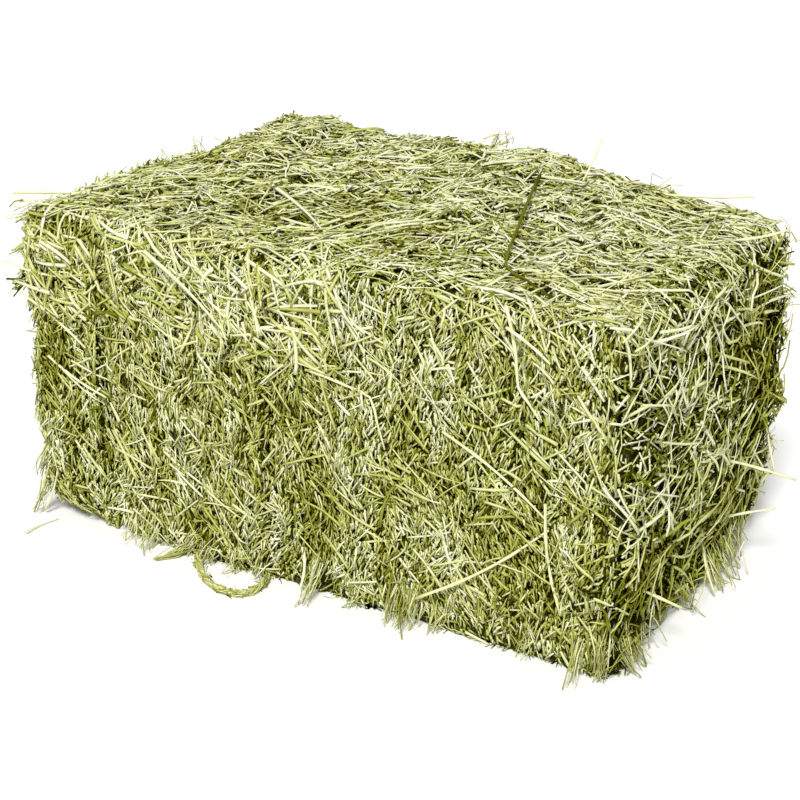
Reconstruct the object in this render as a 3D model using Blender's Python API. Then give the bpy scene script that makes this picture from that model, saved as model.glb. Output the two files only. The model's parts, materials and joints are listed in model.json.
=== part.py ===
"""A small square hay bale: nine pressed flakes, two baling twines and loose stalks.

The bale rests on its underside. +X runs along its length, -Y is the side trimmed by
the baler's knife and +Z is up. The origin is under the middle of everything.
"""

import math
import random

import bmesh
import bpy
from mathutils import Matrix, Vector, noise
from mathutils.bvhtree import BVHTree

# The pressed block, in metres
BALE_LENGTH = 0.800
BALE_DEPTH = 0.460
BALE_HEIGHT = 0.405

# Relative thickness of each flake, from the left end to the right end
FLAKE_SHARES = (1.15, 0.95, 0.85, 0.95, 1.05, 0.98, 0.95, 0.95, 1.17)
FLAKE_GAP = 0.0008
SEAM_TILT = 0.035
SEAM_DEPTH = 0.007
SEAM_TURN = 2.3
SEAM_SWAY = 0.45
SEAM_SQUARE = 0.98

# Where a flake is divided across its thickness, as shares of it
THICKNESS_CUTS = (0.14, 0.5, 0.86)
GRID_STEP = 0.041
SIDE_MARGIN = 0.020
FOOT_MARGIN = 0.014
ON_SEAM = 1e-4
BESIDE_SEAM = 0.1

# Rounding of the long edges and of the four upright corners
BOTTOM_RADIUS = 0.014
TOP_RADIUS = 0.022
END_RADIUS = 0.026

# The left front foot is worn round and stands a little off the ground
WORN_RADIUS = 0.030
WORN_REACH = 0.210
WORN_LIFT = 0.027

# The hay has sprung up along the back of the top, but not towards the right end
TOP_RISE = 0.034
TOP_RISE_START = 0.040
TOP_RISE_RUN = 0.055
TOP_RISE_STOP = 0.070
TOP_RISE_FADE = 0.300
TOP_FALL = 0.004
TOP_FALL_RUN = 0.100

# The left back corner of the top hangs low
CORNER_FALL = 0.028
CORNER_FALL_RUN = 0.085
CORNER_FALL_START = 0.220
CORNER_FALL_DEPTH = 0.260

# The right end leans in towards its back foot
UNDERCUT = 0.019
UNDERCUT_HEIGHT = 0.210
UNDERCUT_RUN = 0.180

# Lumps and hollows in the pressed surface
FLAKE_STAGGER = 0.005
LUMP_HEIGHT = 0.006
LUMP_SPAN = 0.075
END_LUMP_HEIGHT = 0.013
END_LUMP_SPAN = 0.055
SMALL_LUMP = 0.5
SMALL_LUMP_SPAN = 0.4
END_DOME = 0.014
SEAM_LIFT = 0.004
LOWEST_SIDE = 0.006
TINY = 1e-6

# Tufts that stand out of the flakes
TUFTS_PER_FLAKE = 6
TUFTS_PER_END = 9
TUFT_INSET = 0.0085
TUFT_LENGTH = (0.034, 0.058)
TUFT_RISE = (0.009, 0.014)
TUFT_ROOT_REACH = 0.35
TUFT_ROOT_RISE = 0.7
TUFT_WAIST = 0.75
TUFT_TIP = 0.22
TUFT_APART = 0.024
TUFT_PROBE_INSET = 0.20
TUFT_PROBE_RISE = 0.0018
TUFT_LOWEST = 0.030
TUFT_AREA = 0.00060
TUFT_SQUARE = 0.93
TUFT_GROUND = 0.010
TUFT_FACING = 0.7
TUFT_OVERHANG = -0.2
TUFT_SWAY_TOP = 0.7
TUFT_SWAY_SIDE = 0.6
TUFT_FLATTENED = 0.35
TUFT_DROOP = 0.3
TUFT_BEYOND = 0.002

# Baling twines, each in a slot that it has cut into the flakes
TWINE_SPREAD = 0.230
TWINE_RADIUS = 0.0016
TWINE_DEPTH = 0.0085
TWINE_CORNER = 0.040
TWINE_ARC_STEPS = 5
TWINE_CLEARANCE = 0.0004
SLOT_WIDTH = 0.009
SLOT_REACH = 0.060
SLOT_MARGIN = 0.019
SLOT_OUTER_CORNER = 0.020
KNOT_LENGTH = 0.0115
KNOT_RADIUS = 0.0036
KNOT_HEIGHT = 0.285
KNOT_TAIL = 0.034
KNOT_TAIL_LEANS = (0.45, 0.75)
KNOT_TAIL_DROPS = (0.0020, 0.0016)
KNOT_TAIL_TAPER = 0.7
WELD_DISTANCE = 0.00002

# Loose stalks
STALK_CLEARANCE = 0.0006
STALK_POINTS = 4
STALK_PROBE_STEP = 0.001
STALK_PROBE_REACH = 0.200

MM = 0.001
SEED = 417

# Each loose stalk: the face that it lies on; where its middle is, along and up or
# deep in that face, from the face's lower left corner; its heading anticlockwise in
# that face in degrees; its length, its radius, its sideways bow and how far its head
# end stands off. Sizes are millimetres.
LOOSE_STALKS = {
    "top_blade_long": ("top", 295, 145, -38, 228, 2.2, 6, 3),
    "top_blade_cross": ("top", 402, 87, 50, 98, 1.9, -3, 3),
    "top_stem_jointed": ("top", 566, 224, -70, 280, 1.6, 0, -26),
    "top_stem_forked": ("top", 550, 350, -10, 70, 1.5, 3, 4),
    "top_stem_upright": ("top", 576, 381, 100, 76, 1.3, 2, 32),
    "top_stem_back_left": ("top", 132, 412, 36, 90, 1.3, 5, 6),
    "top_stem_back_mid": ("top", 414, 436, 24, 90, 1.2, 4, 7),
    "top_stem_back_right": ("top", 690, 440, 8, 140, 1.3, -4, 9),
    "top_stem_left_long": ("top", 15, 56, 28, 130, 1.6, 4, 0),
    "top_stem_left_short": ("top", 28, 14, 11, 84, 1.3, -3, 2),
    "top_stem_right_front": ("top", 770, 110, 24, 96, 1.5, 4, 6),
    "top_stem_right_back": ("top", 800, 360, 50, 86, 1.5, -4, 6),
    "front_blade_draped_left": ("front", 258, 350, -35, 142, 2.3, 5, 0),
    "front_blade_draped_mid": ("front", 390, 368, -27, 134, 2.2, 4, 0),
    "front_stem_pale_long": ("front", 677, 364, -79, 88, 1.6, 3, 0),
    "front_stem_pale_short": ("front", 700, 372, -30, 60, 1.5, 2, 0),
    "front_stem_crossing": ("front", 662, 210, -30, 156, 1.4, 6, 0),
    "front_stem_kinked": ("front", 456, 275, -10, 88, 1.3, 2, 0),
    "front_stem_lower": ("front", 645, 100, 218, 208, 1.6, 7, 4),
    "front_stem_pointed": ("front", 404, 30, -84, 48, 1.8, 2, 14),
    "front_stem_left_high": ("front", 12, 336, 176, 84, 1.4, 3, 0),
    "front_stem_left_mid": ("front", 44, 275, -28, 114, 1.5, 4, 0),
    "front_stem_left_low": ("front", 74, 206, -22, 98, 1.4, -4, 0),
    "front_stem_left_foot": ("front", 15, 36, -112, 66, 1.4, 2, 3),
    "front_stem_corner": ("front", 735, 132, -80, 130, 1.5, -6, 0),
    "right_stem_high": ("right", 285, 150, -26, 92, 1.7, 4, 70),
    "right_stem_low": ("right", 310, 73, 2, 84, 1.5, -3, 58),
    "right_stem_upper": ("right", 362, 322, 2, 118, 1.5, 4, 18),
    "right_stem_back": ("right", 362, 142, -70, 58, 1.3, 3, 20),
    "right_stem_hanging": ("right", 402, 142, -85, 94, 1.4, 6, 18),
    "right_blade_hanging": ("right", 228, 196, -56, 204, 2.4, 8, 8),
    "right_stem_foot": ("right", 240, 46, -103, 80, 1.6, 3, 28),
    "right_tuft_low": ("right", 76, 72, -39, 54, 1.8, 2, 42),
    "left_stem_high": ("left", 180, 300, -28, 132, 1.5, 5, 12),
    "left_stem_mid": ("left", 300, 190, 24, 120, 1.5, -5, 14),
    "left_stem_low": ("left", 120, 110, -64, 118, 1.4, 4, 8),
    "back_stem_left": ("back", 200, 240, 34, 150, 1.5, 6, 3),
    "back_stem_mid": ("back", 420, 150, -22, 138, 1.5, -6, 3),
    "back_stem_right": ("back", 610, 262, 62, 132, 1.5, 5, 3),
    "floor_blade": ("floor", 26, -44, 82, 54, 1.6, 3, 0),
}

# Stalks with a second leg beyond a node: the turn in degrees and the leg's length
SECOND_LEGS = {
    "top_stem_jointed": (33, 110),
    "front_stem_kinked": (-62, 62),
    "front_stem_pale_long": (28, 42),
}

# A twisted wisp that hangs out of the bottom edge and lies on the ground
WISP_MIDDLE = 0.298
WISP_WIDTH = 0.106
WISP_REACH = 0.062
WISP_SKEW = 0.034
WISP_RADIUS = 0.0044
WISP_POINTS = 13

HAY_COLOUR = (0.36, 0.36, 0.11, 1.0)
TWINE_COLOUR = (0.52, 0.44, 0.22, 1.0)
STALK_COLOUR = (0.60, 0.60, 0.26, 1.0)


def clear_scene():
    """Removes every object, so that the model starts from nothing."""
    for thing in list(bpy.data.objects):
        bpy.data.objects.remove(thing, do_unlink=True)


def new_collection(name):
    """Adds an empty collection to the scene."""
    collection = bpy.data.collections.new(name)
    bpy.context.scene.collection.children.link(collection)
    return collection


def new_material(name, colour, roughness):
    """A plain material for one kind of piece."""
    material = bpy.data.materials.new(name)
    material.use_nodes = True
    shader = material.node_tree.nodes["Principled BSDF"]
    shader.inputs["Base Color"].default_value = colour
    shader.inputs["Roughness"].default_value = roughness
    shader.inputs["Metallic"].default_value = 0.0
    material.diffuse_color = colour
    return material


def add_object(name, mesh, collection, material=None):
    """Makes an object of a mesh, in a collection and a material."""
    thing = bpy.data.objects.new(name, mesh)
    collection.objects.link(thing)
    if material:
        mesh.materials.append(material)
    return thing


def clamped(value, low, high):
    """The value, kept between two limits."""
    return max(low, min(high, value))


def smooth_step(value):
    """Eases 0 to 1 with level ends."""
    t = clamped(value, 0.0, 1.0)
    return t * t * (3.0 - 2.0 * t)


def seam_places():
    """Where each flake starts along the bale, and where the last one ends."""
    whole = sum(FLAKE_SHARES)
    places = [-BALE_LENGTH / 2]
    for share in FLAKE_SHARES:
        places.append(places[-1] + BALE_LENGTH * share / whole)
    return places


def worn_share(point):
    """How much the wear of the left front foot shows at a point, from 0 to 1."""
    foot = Vector((-BALE_LENGTH / 2, -BALE_DEPTH / 2, 0.0))
    return smooth_step(1.0 - (point - foot).length / WORN_REACH)


def edge_radius(point):
    """Rounding near a point: little at the ground, more at the ends and the worn foot."""
    height = smooth_step(point.z / BALE_HEIGHT)
    radius = BOTTOM_RADIUS + (TOP_RADIUS - BOTTOM_RADIUS) * height
    end = smooth_step(1.0 - (BALE_LENGTH / 2 - abs(point.x)) / END_RADIUS)
    above = smooth_step(point.z / END_RADIUS)
    return radius + WORN_RADIUS * worn_share(point) + (END_RADIUS - TOP_RADIUS) * end * above


def top_rise(point):
    """How far the top stands above or below its level height over a point."""
    back = smooth_step(point.y / BALE_DEPTH + 0.5)
    from_left = point.x + BALE_LENGTH / 2
    from_right = BALE_LENGTH / 2 - point.x
    rise = TOP_RISE * back * smooth_step((from_left - TOP_RISE_START) / TOP_RISE_RUN)
    rise *= smooth_step((from_right - TOP_RISE_STOP) / TOP_RISE_FADE)
    fall = TOP_FALL * (1.0 - smooth_step(min(from_left, from_right) / TOP_FALL_RUN))
    corner = smooth_step((point.y + BALE_DEPTH / 2 - CORNER_FALL_START) / CORNER_FALL_DEPTH)
    fall += CORNER_FALL * corner * (1.0 - smooth_step(from_left / CORNER_FALL_RUN))
    return (rise - fall) * (point.z / BALE_HEIGHT) ** 2


def undercut(point):
    """How far the right end leans in at a point of its face."""
    low = smooth_step(1.0 - point.z / UNDERCUT_HEIGHT)
    back = smooth_step((point.y + BALE_DEPTH / 2) / UNDERCUT_RUN)
    return UNDERCUT * low * back


def rounded(point):
    """Moves a point of the square block onto its rounded form; returns it and its normal."""
    radius = edge_radius(point)
    core = Vector((
        clamped(point.x, radius - BALE_LENGTH / 2, BALE_LENGTH / 2 - radius),
        clamped(point.y, radius - BALE_DEPTH / 2, BALE_DEPTH / 2 - radius),
        clamped(point.z, radius, BALE_HEIGHT - radius),
    ))
    away = point - core
    normal = away.normalized()
    return core + normal * radius, normal


def grid_lines(low, high, first, last):
    """Cutting places between two limits: one at each end's rounding, then even steps."""
    inner_low = low + first
    inner_high = high - last
    count = round((inner_high - inner_low) / GRID_STEP)
    step = (inner_high - inner_low) / count
    return [inner_low + step * i for i in range(count + 1)]


def cut_block(start, end):
    """One flake as a plain block from a cube, cut into a grid across all three axes."""
    block = bmesh.new()
    bmesh.ops.create_cube(block, size=1.0)
    size = (end - start, BALE_DEPTH, BALE_HEIGHT)
    bmesh.ops.scale(block, vec=size, verts=block.verts)
    middle = ((start + end) / 2, 0.0, BALE_HEIGHT / 2)
    bmesh.ops.translate(block, vec=middle, verts=block.verts)
    across = [start + (end - start) * share for share in THICKNESS_CUTS]
    deep = grid_lines(-BALE_DEPTH / 2, BALE_DEPTH / 2, SIDE_MARGIN, SIDE_MARGIN)
    high = grid_lines(0.0, BALE_HEIGHT, FOOT_MARGIN, SIDE_MARGIN)
    for axis, places in enumerate((across, deep, high)):
        normal = Vector((0.0, 0.0, 0.0))
        normal[axis] = 1.0
        for place in places:
            everything = block.verts[:] + block.edges[:] + block.faces[:]
            bmesh.ops.bisect_plane(
                block, geom=everything, plane_co=normal * place, plane_no=normal)
    return block


def lump(point, span, seed):
    """A smooth bump value from -1 to 1, different for each seed."""
    return noise.noise(point / span + Vector((seed * 7.1, seed * 3.7, seed * 1.9)))


def on_outside(point, index):
    """Whether a grid point is on the bale's own surface, not between two flakes."""
    last = len(FLAKE_SHARES) - 1
    touches = (
        abs(point.y) > BALE_DEPTH / 2 - TINY,
        not TINY < point.z < BALE_HEIGHT - TINY,
        index == 0 and point.x < TINY - BALE_LENGTH / 2,
        index == last and point.x > BALE_LENGTH / 2 - TINY,
    )
    return any(touches)


def roughness_at(source, near, outer_end):
    """How far the surface swells or sinks at a point; near is 0 at a seam."""
    height = LUMP_HEIGHT * lump(source, LUMP_SPAN, 1.0)
    height += SMALL_LUMP * LUMP_HEIGHT * lump(source, LUMP_SPAN * SMALL_LUMP_SPAN, 2.0)
    if outer_end:
        middle_y = 1.0 - (2.0 * source.y / BALE_DEPTH) ** 2
        middle_z = 1.0 - (2.0 * source.z / BALE_HEIGHT - 1.0) ** 2
        height += END_DOME * middle_y * middle_z
        height += END_LUMP_HEIGHT * lump(source, END_LUMP_SPAN, 3.0)
    return height - SEAM_DEPTH * (1.0 - smooth_step(2.0 * near)) ** 2


def shape_flake(block, index, start, end, stagger):
    """Rounds, crowns and roughens one flake, and keeps its underside level."""
    last = len(FLAKE_SHARES) - 1
    for vert in block.verts:
        source = vert.co.copy()
        share = (source.x - start) / (end - start)
        seam_low = index > 0 and share < ON_SEAM
        seam_high = index < last and share > 1.0 - ON_SEAM
        moved = source.copy()
        if on_outside(source, index):
            outer_end = not (seam_low or seam_high) and not ON_SEAM < share < 1.0 - ON_SEAM
            near = min(share if index else 1.0, 1.0 - share if index < last else 1.0)
            place, normal = rounded(source)
            push = roughness_at(source, near, outer_end)
            push += stagger[0] * max(0.0, -normal.y) + stagger[1] * max(0.0, normal.z)
            push += stagger[2] * max(0.0, normal.y)
            moved = place + normal * push
            moved.z += top_rise(source)
            if source.z < TINY:
                moved = Vector((place.x, place.y, SEAM_LIFT if near < BESIDE_SEAM else 0.0))
            moved.z = max(moved.z, WORN_LIFT * worn_share(source))
            if source.z > TINY:
                moved.z = max(moved.z, LOWEST_SIDE)
            if index == last:
                moved.x -= undercut(source) * share
        lean = SEAM_TILT * (moved.z / BALE_HEIGHT - 0.5)
        if seam_low:
            moved.x = start + FLAKE_GAP / 2 + lean * seam_sway(index)
        elif seam_high:
            moved.x = end - FLAKE_GAP / 2 + lean * seam_sway(index + 1)
        vert.co = moved


def seam_sway(seam):
    """How far one seam leans along the bale; its neighbours lean other ways."""
    return math.sin(seam * SEAM_TURN) * SEAM_SWAY


def flatten_seams(block, index):
    """Clears the grid inside the flat faces where this flake meets its neighbours."""
    last = len(FLAKE_SHARES) - 1
    inside = []
    for vert in block.verts:
        outlines = [face.normal for face in vert.link_faces]
        if index > 0 and all(normal.x < -SEAM_SQUARE for normal in outlines):
            inside.append(vert)
        elif index < last and all(normal.x > SEAM_SQUARE for normal in outlines):
            inside.append(vert)
    bmesh.ops.dissolve_verts(block, verts=inside)


def near_slot(place):
    """Whether a place is on the path of one of the twines."""
    beside = abs(abs(place.y) - TWINE_SPREAD / 2)
    return beside < SLOT_MARGIN


def tuft_heading(normal, chance):
    """The way a tuft leans: down the cut side, along the top, any way on the ends."""
    if normal.z > TUFT_FACING:
        turn = chance.uniform(-TUFT_SWAY_TOP, TUFT_SWAY_TOP)
        turn += math.pi if chance.random() < 0.5 else 0.0
        return Vector((math.cos(turn), math.sin(turn), 0.0))
    if abs(normal.y) > TUFT_FACING:
        turn = chance.uniform(-TUFT_SWAY_SIDE, TUFT_SWAY_SIDE)
        return Vector((math.sin(turn), 0.0, -math.cos(turn)))
    turn = chance.uniform(0.0, 2.0 * math.pi)
    up = TUFT_FLATTENED * math.sin(turn) - TUFT_DROOP
    return Vector((0.0, math.cos(turn), up)).normalized()


def tuft_steps(normal, chance):
    """The two steps by which a tuft is drawn out, to its waist and to its tip."""
    heading = tuft_heading(normal, chance)
    heading = (heading - normal * heading.dot(normal)).normalized()
    length = chance.uniform(*TUFT_LENGTH)
    rise = chance.uniform(*TUFT_RISE)
    root_step = heading * length * TUFT_ROOT_REACH + normal * rise * TUFT_ROOT_RISE
    whole = heading * length + normal * rise
    return root_step, whole - root_step


def way_is_clear(face, steps, tree, grown):
    """Whether a tuft can be drawn out of a face without touching anything."""
    centre = face.calc_center_median()
    spots = [centre + steps[0] * share for share in (0.0, 0.5, 1.0)]
    spots += [centre + steps[0] + steps[1] * share for share in (0.5, 1.0)]
    if any(near_slot(spot) or spot.z < TUFT_GROUND for spot in spots):
        return False
    for other in grown:
        if any((spot - place).length < TUFT_APART for spot in spots for place in other):
            return False
    corners = [vert.co for vert in face.verts]
    middles = [(corners[i - 1] + corners[i]) / 2 for i in range(len(corners))]
    for rim in corners + middles + [centre]:
        start = rim.lerp(centre, TUFT_PROBE_INSET) + face.normal * TUFT_PROBE_RISE
        for step in steps:
            hit = tree.ray_cast(start, step, step.length + TUFT_BEYOND)
            if hit[0] is not None:
                return False
            start = start + step
    grown.append(spots)
    return True


def tuft_faces(block):
    """The faces of a flake's outside that are large enough and clear of the twines."""
    return [
        face for face in block.faces
        if len(face.verts) == 4 and face.normal.z > TUFT_OVERHANG
        and max(abs(value) for value in face.normal) > TUFT_SQUARE
        and face.calc_center_median().z > TUFT_LOWEST and face.calc_area() > TUFT_AREA
    ]


def grow_tufts(block, count, chance, tree, grown):
    """Draws tufts of hay out of single faces of one flake's outside."""
    faces = tuft_faces(block)
    chance.shuffle(faces)
    plans = []
    for face in faces:
        steps = tuft_steps(face.normal.copy(), chance)
        if len(plans) < count and way_is_clear(face, steps, tree, grown):
            plans.append((face, steps))
    for face, (root_step, tip_step) in plans:
        bmesh.ops.inset_individual(block, faces=[face], thickness=TUFT_INSET, depth=0.0)
        waist = draw_out(block, face, root_step, TUFT_WAIST)
        draw_out(block, waist, tip_step, TUFT_TIP)


def draw_out(block, face, step, width):
    """Extrudes one face by a step and narrows it."""
    drawn = bmesh.ops.extrude_discrete_faces(block, faces=[face])["faces"][0]
    centre = drawn.calc_center_median()
    bmesh.ops.scale(
        block, vec=(width, width, width), verts=drawn.verts,
        space=Matrix.Translation(-centre))
    bmesh.ops.translate(block, vec=step, verts=drawn.verts)
    return drawn


def shaped_block(index, places, chance):
    """One flake's closed form, before its tufts and slots."""
    start, end = places[index], places[index + 1]
    block = cut_block(start, end)
    stagger = [chance.uniform(-FLAKE_STAGGER, FLAKE_STAGGER) for _ in range(3)]
    shape_flake(block, index, start, end, stagger)
    block.normal_update()
    flatten_seams(block, index)
    block.normal_update()
    return block


def tree_over(blocks):
    """A search tree over several closed forms."""
    joined = bmesh.new()
    for block in blocks:
        mesh = bpy.data.meshes.new("outside")
        block.to_mesh(mesh)
        joined.from_mesh(mesh)
        bpy.data.meshes.remove(mesh)
    tree = BVHTree.FromBMesh(joined)
    joined.free()
    return tree


def make_flakes(collection, cutters, material, chance):
    """Every pressed wad of hay, with its tufts and the slots of both twines."""
    places = seam_places()
    count = len(FLAKE_SHARES)
    blocks = [shaped_block(index, places, chance) for index in range(count)]
    tree = tree_over(blocks)
    grown = []
    flakes = []
    for index, block in enumerate(blocks):
        tufts = TUFTS_PER_END if index in (0, count - 1) else TUFTS_PER_FLAKE
        grow_tufts(block, tufts, chance, tree, grown)
        bmesh.ops.triangulate(block, faces=block.faces)
        block.normal_update()
        mesh = bpy.data.meshes.new(f"flake_{index + 1}")
        block.to_mesh(mesh)
        block.free()
        flake = add_object(f"flake_{index + 1}", mesh, collection, material)
        for cutter in cutters:
            cut = flake.modifiers.new(f"slot for {cutter.name}", "BOOLEAN")
            cut.operation = "DIFFERENCE"
            cut.solver = "EXACT"
            cut.object = cutter
        flakes.append(flake)
    return flakes


def ring_outline(half_length, low, high, radius, steps):
    """Points round an upright rounded rectangle, as pairs along and up."""
    points = []
    corners = (
        (half_length - radius, high - radius, 0.0),
        (radius - half_length, high - radius, 0.5),
        (radius - half_length, low + radius, 1.0),
        (half_length - radius, low + radius, 1.5),
    )
    for along, up, turn in corners:
        for step in range(steps + 1):
            angle = math.pi * (turn + 0.5 * step / steps)
            points.append((along + radius * math.cos(angle), up + radius * math.sin(angle)))
    return points


def add_spline(curve, points, cyclic):
    """Adds a straight-run spline through points of three numbers."""
    spline = curve.splines.new("POLY")
    spline.points.add(len(points) - 1)
    for knot, point in zip(spline.points, points):
        knot.co = (*point, 1.0)
    spline.use_cyclic_u = cyclic


def curve_to_mesh(curve_object):
    """Turns a curve object into a mesh object in the same place, with welded caps."""
    graph = bpy.context.evaluated_depsgraph_get()
    evaluated = curve_object.evaluated_get(graph)
    mesh = bpy.data.meshes.new_from_object(evaluated)
    welded = bmesh.new()
    welded.from_mesh(mesh)
    bmesh.ops.remove_doubles(welded, verts=welded.verts, dist=WELD_DISTANCE)
    bmesh.ops.recalc_face_normals(welded, faces=welded.faces)
    welded.to_mesh(mesh)
    welded.free()
    place = curve_object.matrix_world.copy()
    name = curve_object.name
    collection = curve_object.users_collection[0]
    bpy.data.objects.remove(curve_object, do_unlink=True)
    thing = add_object(name, mesh, collection)
    thing.matrix_world = place
    return thing


def make_slot_cutter(name, side, collection):
    """A flat upright ring that cuts one twine's slot round the whole bale."""
    floor_depth = TWINE_DEPTH + TWINE_RADIUS + TWINE_CLEARANCE
    curve = bpy.data.curves.new(name, "CURVE")
    curve.dimensions = "2D"
    curve.fill_mode = "BOTH"
    curve.extrude = SLOT_WIDTH / 2
    curve.resolution_u = 1
    outer = ring_outline(
        BALE_LENGTH / 2 + SLOT_REACH, -SLOT_REACH, BALE_HEIGHT + SLOT_REACH,
        SLOT_OUTER_CORNER, 2)
    inner = ring_outline(
        BALE_LENGTH / 2 - floor_depth, floor_depth, BALE_HEIGHT - floor_depth,
        TWINE_CORNER - TWINE_RADIUS, TWINE_ARC_STEPS)
    for outline in (outer, inner):
        add_spline(curve, [(along, up, 0.0) for along, up in outline], True)
    ring = bpy.data.objects.new(name, curve)
    collection.objects.link(ring)
    ring.location = (0.0, side * TWINE_SPREAD / 2, 0.0)
    ring.rotation_euler = (math.pi / 2, 0.0, 0.0)
    bpy.context.view_layer.update()
    cutter = curve_to_mesh(ring)
    cutter.hide_render = True
    cutter.display_type = "WIRE"
    return cutter


def twine_path():
    """The twine's middle line round the bale, as pairs along and up."""
    return ring_outline(
        BALE_LENGTH / 2 - TWINE_DEPTH, TWINE_DEPTH, BALE_HEIGHT - TWINE_DEPTH,
        TWINE_CORNER, TWINE_ARC_STEPS)


def make_knot(side):
    """The knot at the left end with its two cut tails, as one closed mesh of lumps."""
    lumps = []
    y = side * TWINE_SPREAD / 2
    x = TWINE_DEPTH - BALE_LENGTH / 2 - 1.5 * TWINE_RADIUS
    ball = bmesh.new()
    bmesh.ops.create_icosphere(ball, subdivisions=2, radius=KNOT_RADIUS)
    stretch = KNOT_LENGTH / (2.0 * KNOT_RADIUS)
    bmesh.ops.scale(ball, vec=(1.0, 1.0, stretch), verts=ball.verts)
    bmesh.ops.translate(ball, vec=(x, y, KNOT_HEIGHT), verts=ball.verts)
    lumps.append(ball)
    for lean, drop in zip(KNOT_TAIL_LEANS, KNOT_TAIL_DROPS):
        tail = bmesh.new()
        bmesh.ops.create_cone(
            tail, segments=6, radius1=TWINE_RADIUS, radius2=TWINE_RADIUS * KNOT_TAIL_TAPER,
            depth=KNOT_TAIL, cap_ends=True)
        bmesh.ops.translate(tail, vec=(0.0, 0.0, KNOT_TAIL / 2), verts=tail.verts)
        turn = Matrix.Rotation(math.pi + lean, 4, "Y")
        bmesh.ops.transform(tail, matrix=turn, verts=tail.verts)
        foot = (x, y, KNOT_HEIGHT - drop)
        bmesh.ops.translate(tail, vec=foot, verts=tail.verts)
        lumps.append(tail)
    return lumps


def make_twine(name, side, collection, cutters, material):
    """One baling twine, a closed ring round the bale, joined at its knot."""
    curve = bpy.data.curves.new(name, "CURVE")
    curve.dimensions = "3D"
    curve.bevel_depth = TWINE_RADIUS
    curve.bevel_resolution = 2
    curve.use_fill_caps = True
    points = [(along, side * TWINE_SPREAD / 2, up) for along, up in twine_path()]
    add_spline(curve, points, True)
    ring = bpy.data.objects.new(name, curve)
    collection.objects.link(ring)
    bpy.context.view_layer.update()
    twine = curve_to_mesh(ring)
    twine.data.materials.append(material)
    for number, shape in enumerate(make_knot(side)):
        mesh = bpy.data.meshes.new(f"{name} knot {number}")
        shape.to_mesh(mesh)
        shape.free()
        part = add_object(f"{name} knot {number}", mesh, cutters)
        part.hide_render = True
        part.display_type = "WIRE"
        join = twine.modifiers.new(f"knot {number}", "BOOLEAN")
        join.operation = "UNION"
        join.solver = "EXACT"
        join.object = part
    return twine


def face_frame(side):
    """Corner, two axes in the face and the outward axis of one side of the bale."""
    half_length = BALE_LENGTH / 2
    half_depth = BALE_DEPTH / 2
    x, y, z = Vector((1, 0, 0)), Vector((0, 1, 0)), Vector((0, 0, 1))
    frames = {
        "front": (Vector((-half_length, -half_depth, 0.0)), x, z, -y),
        "back": (Vector((half_length, half_depth, 0.0)), -x, z, y),
        "right": (Vector((half_length, -half_depth, 0.0)), y, z, x),
        "left": (Vector((-half_length, half_depth, 0.0)), -y, z, -x),
        "top": (Vector((-half_length, -half_depth, BALE_HEIGHT)), x, y, z),
        "floor": (Vector((-half_length, -half_depth, 0.0)), x, y, z),
    }
    return frames[side]


def add_to_ground(ground, thing):
    """Adds an object's final form to what later stalks lie on, and returns a search tree."""
    bpy.context.view_layer.update()
    graph = bpy.context.evaluated_depsgraph_get()
    ground.from_mesh(thing.evaluated_get(graph).to_mesh())
    return BVHTree.FromBMesh(ground)


def needed_lift(points, outward, radius, tree):
    """How far a stiff stalk moves out before it only touches what is under it."""
    lift = -1.0
    for low, high in zip(points, points[1:]):
        steps = max(1, math.ceil((high - low).length / STALK_PROBE_STEP))
        for step in range(steps + 1):
            spot = low.lerp(high, step / steps)
            for beside in probe_places(spot, outward, high - low, radius):
                hit = tree.ray_cast(beside + outward * STALK_PROBE_REACH, -outward)
                if hit[0] is not None:
                    lift = max(lift, (hit[0] - beside).dot(outward))
    return lift + radius + STALK_CLEARANCE if lift > -1.0 else 0.0


def probe_places(spot, outward, along, radius):
    """A spot on the stalk's middle line and one at each of its sides."""
    across = outward.cross(along).normalized() * (radius + STALK_CLEARANCE)
    return (spot, spot + across, spot - across)


def stalk_points(name):
    """The middle line of one loose stalk before it is laid on the bale."""
    side, along, up, heading, length, _, bow, rise = LOOSE_STALKS[name]
    corner, first, second, outward = face_frame(side)
    middle = corner + first * along * MM + second * up * MM
    run = heading_in_face(heading, first, second)
    across = outward.cross(run)
    points = []
    for step in range(STALK_POINTS):
        share = step / (STALK_POINTS - 1)
        reach = (share - 0.5) * length * MM
        bulge = (1.0 - (2.0 * share - 1.0) ** 2) * bow * MM
        lift = rise * MM * share ** 2
        points.append(middle + run * reach + across * bulge + outward * lift)
    if name in SECOND_LEGS:
        turn, leg = SECOND_LEGS[name]
        run = heading_in_face(heading + turn, first, second)
        points.append(points[-1] + run * leg * MM * 0.5)
        points.append(points[-1] + run * leg * MM * 0.5)
    return points, outward


def heading_in_face(degrees, first, second):
    """The direction at an angle from a face's first axis towards its second."""
    turn = math.radians(degrees)
    return first * math.cos(turn) + second * math.sin(turn)


def make_stalk(name, points, radius, collection, material):
    """One stalk as a slim square tube with closed ends."""
    curve = bpy.data.curves.new(name, "CURVE")
    curve.dimensions = "3D"
    curve.bevel_depth = radius
    curve.bevel_resolution = 0
    curve.use_fill_caps = True
    curve.materials.append(material)
    add_spline(curve, points, False)
    stalk = bpy.data.objects.new(name, curve)
    collection.objects.link(stalk)
    return stalk


def lay_stalks(collection, material, ground):
    """Lays every loose stalk on the high points of the side that it belongs to."""
    tree = BVHTree.FromBMesh(ground)
    for name, row in LOOSE_STALKS.items():
        points, outward = stalk_points(name)
        radius = row[5] * MM
        if row[0] == "floor":
            points = [point + outward * radius for point in points]
        else:
            lift = needed_lift(points, outward, radius, tree)
            points = [point + outward * lift for point in points]
        tree = add_to_ground(ground, make_stalk(name, points, radius, collection, material))


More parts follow.
